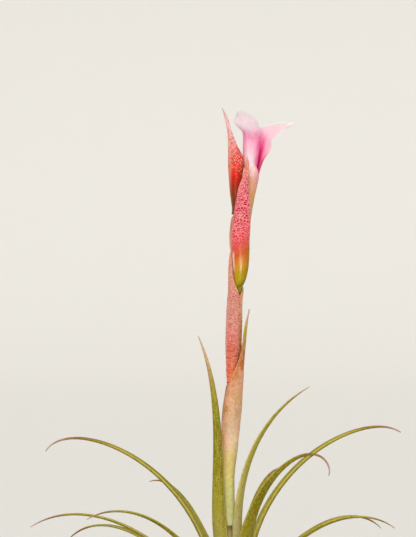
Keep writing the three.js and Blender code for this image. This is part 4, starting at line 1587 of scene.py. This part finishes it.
    # Sepal skin: smooth, bare and waxy, with a clear gloss
    sepal_skin: Skin = Skin(
        name="Sepal skin, tan with a cream tip",
        bands=(
            (69.6, "#A87C40"), (76, "#BC8A42"), (82, "#CC9650"), (86, "#D49E58"), (88.5, "#D8A06E"),
            (90, "#E0A48C"), (91.4, "#F6D0C8"), (93, "#FFF2EC"), (94, "#FFF2EC"),
        ),
        marks=(Marks(Pattern.GRAIN, "#F4D4B4", (0.3, 0.9), ((69.6, 0.2), (94, 0.15)), (0.42, 0.62)),),
        edges=(Edge(0.5, 0.86, "#EE98A4", ((69.6, 0), (86, 0.1), (89, 0.8), (92, 0.7), (94, 0.2))),),
        inside="#F4C8D0",
        roughness=((69.6, 0.25), (94, 0.25)),
        coat=0.3,
        coat_roughness=0.12,
        subsurface=0.2,
    )
    # Bud skin: soft tissue that light enters, hidden in its bract
    bud_skin: Skin = Skin(
        name="Bud skin, pink in tan sepals",
        bands=((86.9, "#B08850"), (92, "#D8A078"), (95, "#E8A8A8"), (97.4, "#F0B0C4")),
        marks=(Marks(Pattern.GRAIN, "#F8D8D0", (0.5, 0.5), ((86.9, 0.2), (97.4, 0.2)), (0.42, 0.62)),),
        subsurface=0.3,
    )
    # Filaments are moist and smooth, and the anthers are dusty with yellow pollen and wholly matt
    stamen_skin: Skin = Skin(
        name="Filament and pollen skin",
        bands=(
            (92.6, "#F4D8E0"), (95.2, "#F4DCC8"), (95.8, "#E8C050"), (96.4, "#E8C85A"),
            (97.2, "#F6F0D0"),
        ),
        marks=(
            Marks(
                Pattern.GRAIN, "#FFF0A8", (0.12, 0.12),
                ((92.6, 0), (95.4, 0.1), (95.9, 0.8), (97.2, 0.3)), (0.42, 0.62),
            ),
        ),
        roughness=((92.6, 0.4), (97.2, 0.8)),
    )
    sepals: tuple[tuple[float, float, float], ...] = ((285, 236, 94), (45, 45, 92), (165, 165, 93.2))
    calyx_foot: float = 69.6
    anthers: int = 6
    anther_turn: float = 15.0

    def sepal(self, azimuth: float, tip: float, top: float) -> Sheath:
        """Gives one sepal, whose tip may be drawn to another azimuth than its body.

        Args:
            azimuth: the direction of the body from the flower's axis, in degrees.
            tip: the direction of the tip.
            top: the height of the tip.

        Returns:
            The sepal, wide below and closing to a point in its last five millimetres.
        """
        foot = self.calyx_foot

        def margin(side: int) -> Profile:
            """Gives the azimuth of one margin over the height.

            Args:
                side: -1 for the left margin and 1 for the right one, seen from outside.

            Returns:
                The azimuth in degrees, which nears the tip's azimuth upwards.
            """
            return Profile((
                (foot, azimuth + side * 66), (top - 5.5, azimuth + side * 64),
                (top - 2.6, (2 * azimuth + tip) / 3 + side * 52), (top, tip + side * 5),
            ))

        return Sheath(
            low=foot,
            high=top,
            x=FLOWER_X,
            y=FLOWER_Y,
            bend=Profile((
                (foot, 0.42), (72, 0.74), (78, 0.9), (84, 0.97), (88, 1.02), (91, 1.26), (94, 1.6),
            )),
            start=margin(-1),
            end=margin(1),
            thick=Profile(((foot, 0.3), (72, 0.4), (88, 0.42), (top, 0.25))),
        )

    def stamens(self) -> list[Patch]:
        """Gives the style, and the anthers on their filaments round it, which spread a little upwards.

        Returns:
            One closed skin for each.
        """
        style = Rod(92.6, 97.2, FLOWER_X, FLOWER_Y, Profile(((92.6, 0.2), (96, 0.24), (97.2, 0.16))))
        out = Profile(((ANTHER_LOW, 0.12), (95, 0.32), (ANTHER_HIGH, 0.34)))
        size = Profile(((ANTHER_LOW, 0.1), (95, 0.12), (95.6, 0.2), (96.3, 0.2), (ANTHER_HIGH, 0.08)))
        heights = np.linspace(ANTHER_LOW, ANTHER_HIGH, 17)
        patches = [style.patch(rows=40, cols=16)]
        for n in range(self.anthers):
            turn = math.radians(360 * n / self.anthers + self.anther_turn)
            places = (
                FLOWER_X(heights) + out(heights) * math.cos(turn),
                FLOWER_Y(heights) + out(heights) * math.sin(turn),
            )
            x, y = (Profile(tuple(zip(heights.tolist(), place.tolist()))) for place in places)
            anther = Rod(ANTHER_LOW, ANTHER_HIGH, x, y, size)
            patches.append(anther.patch(rows=40, cols=12, grain=0.02, seed=30 + n))
        return patches

    def build(self, left: Sheath) -> None:
        """Builds the flower and the bud.

        Args:
            left: the bract that the bud stands in.
        """
        sheets = [self.sepal(*shape).sheet(rows=170, cols=33, grain=0.01, seed=40) for shape in self.sepals]
        sepals = [sheet.patch() for sheet in sheets]
        dress(make_piece("calyx_sepals", sepals, [self.sepal_skin.build()]), "sepal", "calyx")
        tube = Rod(71, 90, FLOWER_X, FLOWER_Y, Profile(((71, 0.3), (86, 0.36), (88.4, 0.5), (90, 0.62))))
        petals = [self.front_petal.sheet(rows=110, cols=41).patch(), tube.patch(rows=60, cols=20)]
        for petal in (self.right_petal, self.back_petal):
            patch = petal.sheet(rows=110, cols=41).patch()
            patch.slot = 1
            petals.append(patch)
        finishes = [self.front_skin.build(), self.right_skin.build()]
        dress(make_piece("corolla_petals", petals, finishes), "petal", "corolla")
        dress(make_piece("stamen_bundle", self.stamens(), [self.stamen_skin.build()]), "stamen", "stamens")
        size = Profile(((86.9, 0.28), (89, 0.6), (92, 0.92), (94, 0.84), (96.2, 0.4), (97.4, 0.12)))
        bud = Rod(86.9, 97.4, left.x, left.y, size).patch(rows=80, cols=32, grain=0.02, seed=50)
        dress(make_piece("bud", [bud], [self.bud_skin.build()]), "flower_bud", "flower_bud")


# The studio


@dataclass(frozen=True)
class Paper:
    """Matt studio paper: rough fibres that scatter light evenly, with no gloss at all."""

    name: str = "Matt studio paper"
    shade: str = "#E1DFDA"
    roughness: float = 0.9
    specular: float = 0.0

    def build(self) -> bpy.types.Material:
        """Makes the material.

        Returns:
            A material of one even colour.
        """
        material = bare_material(self.name)
        tree = material.node_tree
        inputs = {
            "Base Color": self.shade, "Roughness": self.roughness, "Specular IOR Level": self.specular,
        }
        shader = add_node(tree, "BsdfPrincipled", inputs).outputs[0]
        add_node(tree, "OutputMaterial", {0: shader})
        return material


@dataclass(frozen=True)
class Lamp:
    """A soft rectangular lamp that shines along +Y, its width and height in metres.

    A lamp for the gloss is seen in highlights and gives no other light. Any other lamp does the reverse.
    """

    name: str
    place: tuple[float, float, float]
    width: float
    height: float
    watts: float
    for_gloss: bool
    spread: float = 100.0

    def build(self) -> None:
        """Adds the lamp, which the camera doesn't see."""
        area = bpy.data.lights.new(self.name, "AREA")
        area.shape = "RECTANGLE"
        area.size = self.width
        area.size_y = self.height
        area.energy = self.watts
        area.spread = math.radians(self.spread)
        lamp = put_in(self.name, area)
        lamp.location = self.place
        lamp.rotation_euler = (math.radians(90), 0, 0)
        lamp.visible_camera = False
        lamp.visible_glossy = self.for_gloss
        lamp.visible_diffuse = not self.for_gloss


@dataclass
class Studio:
    """A pale sweep round the plant, soft light from above, two lamps near the camera, and the camera.

    The near lamp stands for the pale room in front of the plant, so near that it lights the plant and
    hardly the sweep. The low card gives the glossy feet of the bracts their short upright highlights.
    """

    floor_radius: float = 0.9
    wall_radius: float = 0.9
    wall_height: float = 1.6
    hub_radius: float = 0.001
    floor_rings: int = 12
    turn_rings: int = 24
    around: int = 96
    paper: Paper = Paper()
    camera_distance: float = 0.403
    camera_x: float = -0.0048
    camera_z: float = 0.0723
    frame_width: float = 0.0832
    sensor_mm: float = 36.0
    sky_shade: str = "#FCFDFF"
    sky_strength: float = 0.6
    key_shade: str = "#FFFDFA"
    key_strength: float = 1.65
    key_azimuth: float = -7.0
    key_elevation: float = 58.0
    key_angle: float = 11.0
    near_lamp: Lamp = Lamp("near_lamp", (-0.012, -0.43, 0.105), 0.11, 0.2, 0.125, for_gloss=False)
    low_card: Lamp = Lamp("low_card", (-0.016, -0.3, 0.018), 0.2, 0.009, 0.16, for_gloss=True)

    def sweep(self) -> None:
        """Builds the floor and the wall as one surface of revolution.

        The profile is flat to the floor radius, then a quarter circle up to the vertical, then straight.
        """
        turn = np.linspace(0, np.pi / 2, self.turn_rings + 1)[1:]
        radius = np.concatenate([
            np.linspace(self.hub_radius, self.floor_radius, self.floor_rings),
            self.floor_radius + self.wall_radius * np.sin(turn),
            [self.floor_radius + self.wall_radius],
        ])
        height = np.concatenate([
            np.zeros(self.floor_rings),
            self.wall_radius * (1 - np.cos(turn)),
            [self.wall_height],
        ])
        angle = np.linspace(0, 2 * np.pi, self.around, endpoint=False)
        rings = np.stack(np.broadcast_arrays(
            radius[:, None] * np.cos(angle),
            radius[:, None] * np.sin(angle),
            height[:, None],
        ), -1)
        number = np.arange(len(radius) * self.around).reshape(-1, self.around)
        right = np.roll(number, -1, axis=1)
        quads = np.stack([number[:-1], number[1:], right[1:], right[:-1]], -1).reshape(-1, 4)[:, ::-1]
        faces = [tuple(q) for q in quads.tolist()] + [tuple(number[0].tolist())]
        mesh = bpy.data.meshes.new("studio_sweep")
        mesh.from_pydata(rings.reshape(-1, 3).tolist(), [], faces)
        mesh.polygons.foreach_set("use_smooth", [True] * len(faces))
        mesh.materials.append(self.paper.build())
        sweep = put_in("studio_sweep", mesh)
        sweep.visible_shadow = False

    def light(self) -> None:
        """Lights the plant: an even sky, one wide soft sun from high in front, and the lamps."""
        world = bpy.data.worlds.new("studio_sky")
        bpy.context.scene.world = world
        world.use_nodes = True
        sky = world.node_tree.nodes["Background"]
        sky.inputs["Color"].default_value = colour(self.sky_shade)
        sky.inputs["Strength"].default_value = self.sky_strength
        sun = bpy.data.lights.new("key", "SUN")
        sun.energy = self.key_strength
        sun.angle = math.radians(self.key_angle)
        sun.color = colour(self.key_shade)[:3]
        key = put_in("key", sun)
        key.rotation_euler = (math.radians(90 - self.key_elevation), 0, math.radians(self.key_azimuth))
        self.near_lamp.build()
        self.low_card.build()

    def camera(self) -> None:
        """Sets the camera level in front of the plant, with a long lens.

        The lens is the sensor's width times the distance, over the width that the picture spans there.
        """
        data = bpy.data.cameras.new("camera")
        data.sensor_fit = "HORIZONTAL"
        data.sensor_width = self.sensor_mm
        data.lens = self.sensor_mm * self.camera_distance / self.frame_width
        data.clip_start = 0.01
        data.clip_end = 20
        camera = put_in("camera", data)
        camera.location = (self.camera_x, -self.camera_distance, self.camera_z)
        camera.rotation_euler = (math.radians(90), 0, 0)
        bpy.context.scene.camera = camera

    def build(self) -> None:
        """Builds the sweep, the lights and the camera, and keeps the colours as they are painted."""
        self.sweep()
        self.light()
        self.camera()
        bpy.context.scene.view_settings.view_transform = "Standard"


def main() -> None:
    """Builds the plant and the studio."""
    logging.basicConfig(level=logging.INFO, format="%(name)s: %(message)s")
    Stem().build()
    Rosette().build()
    Scape().build()
    bracts = FloralBracts()
    bracts.build()
    Flower().build(bracts.left)
    Studio().build()


if __name__ == "__main__":
    main()
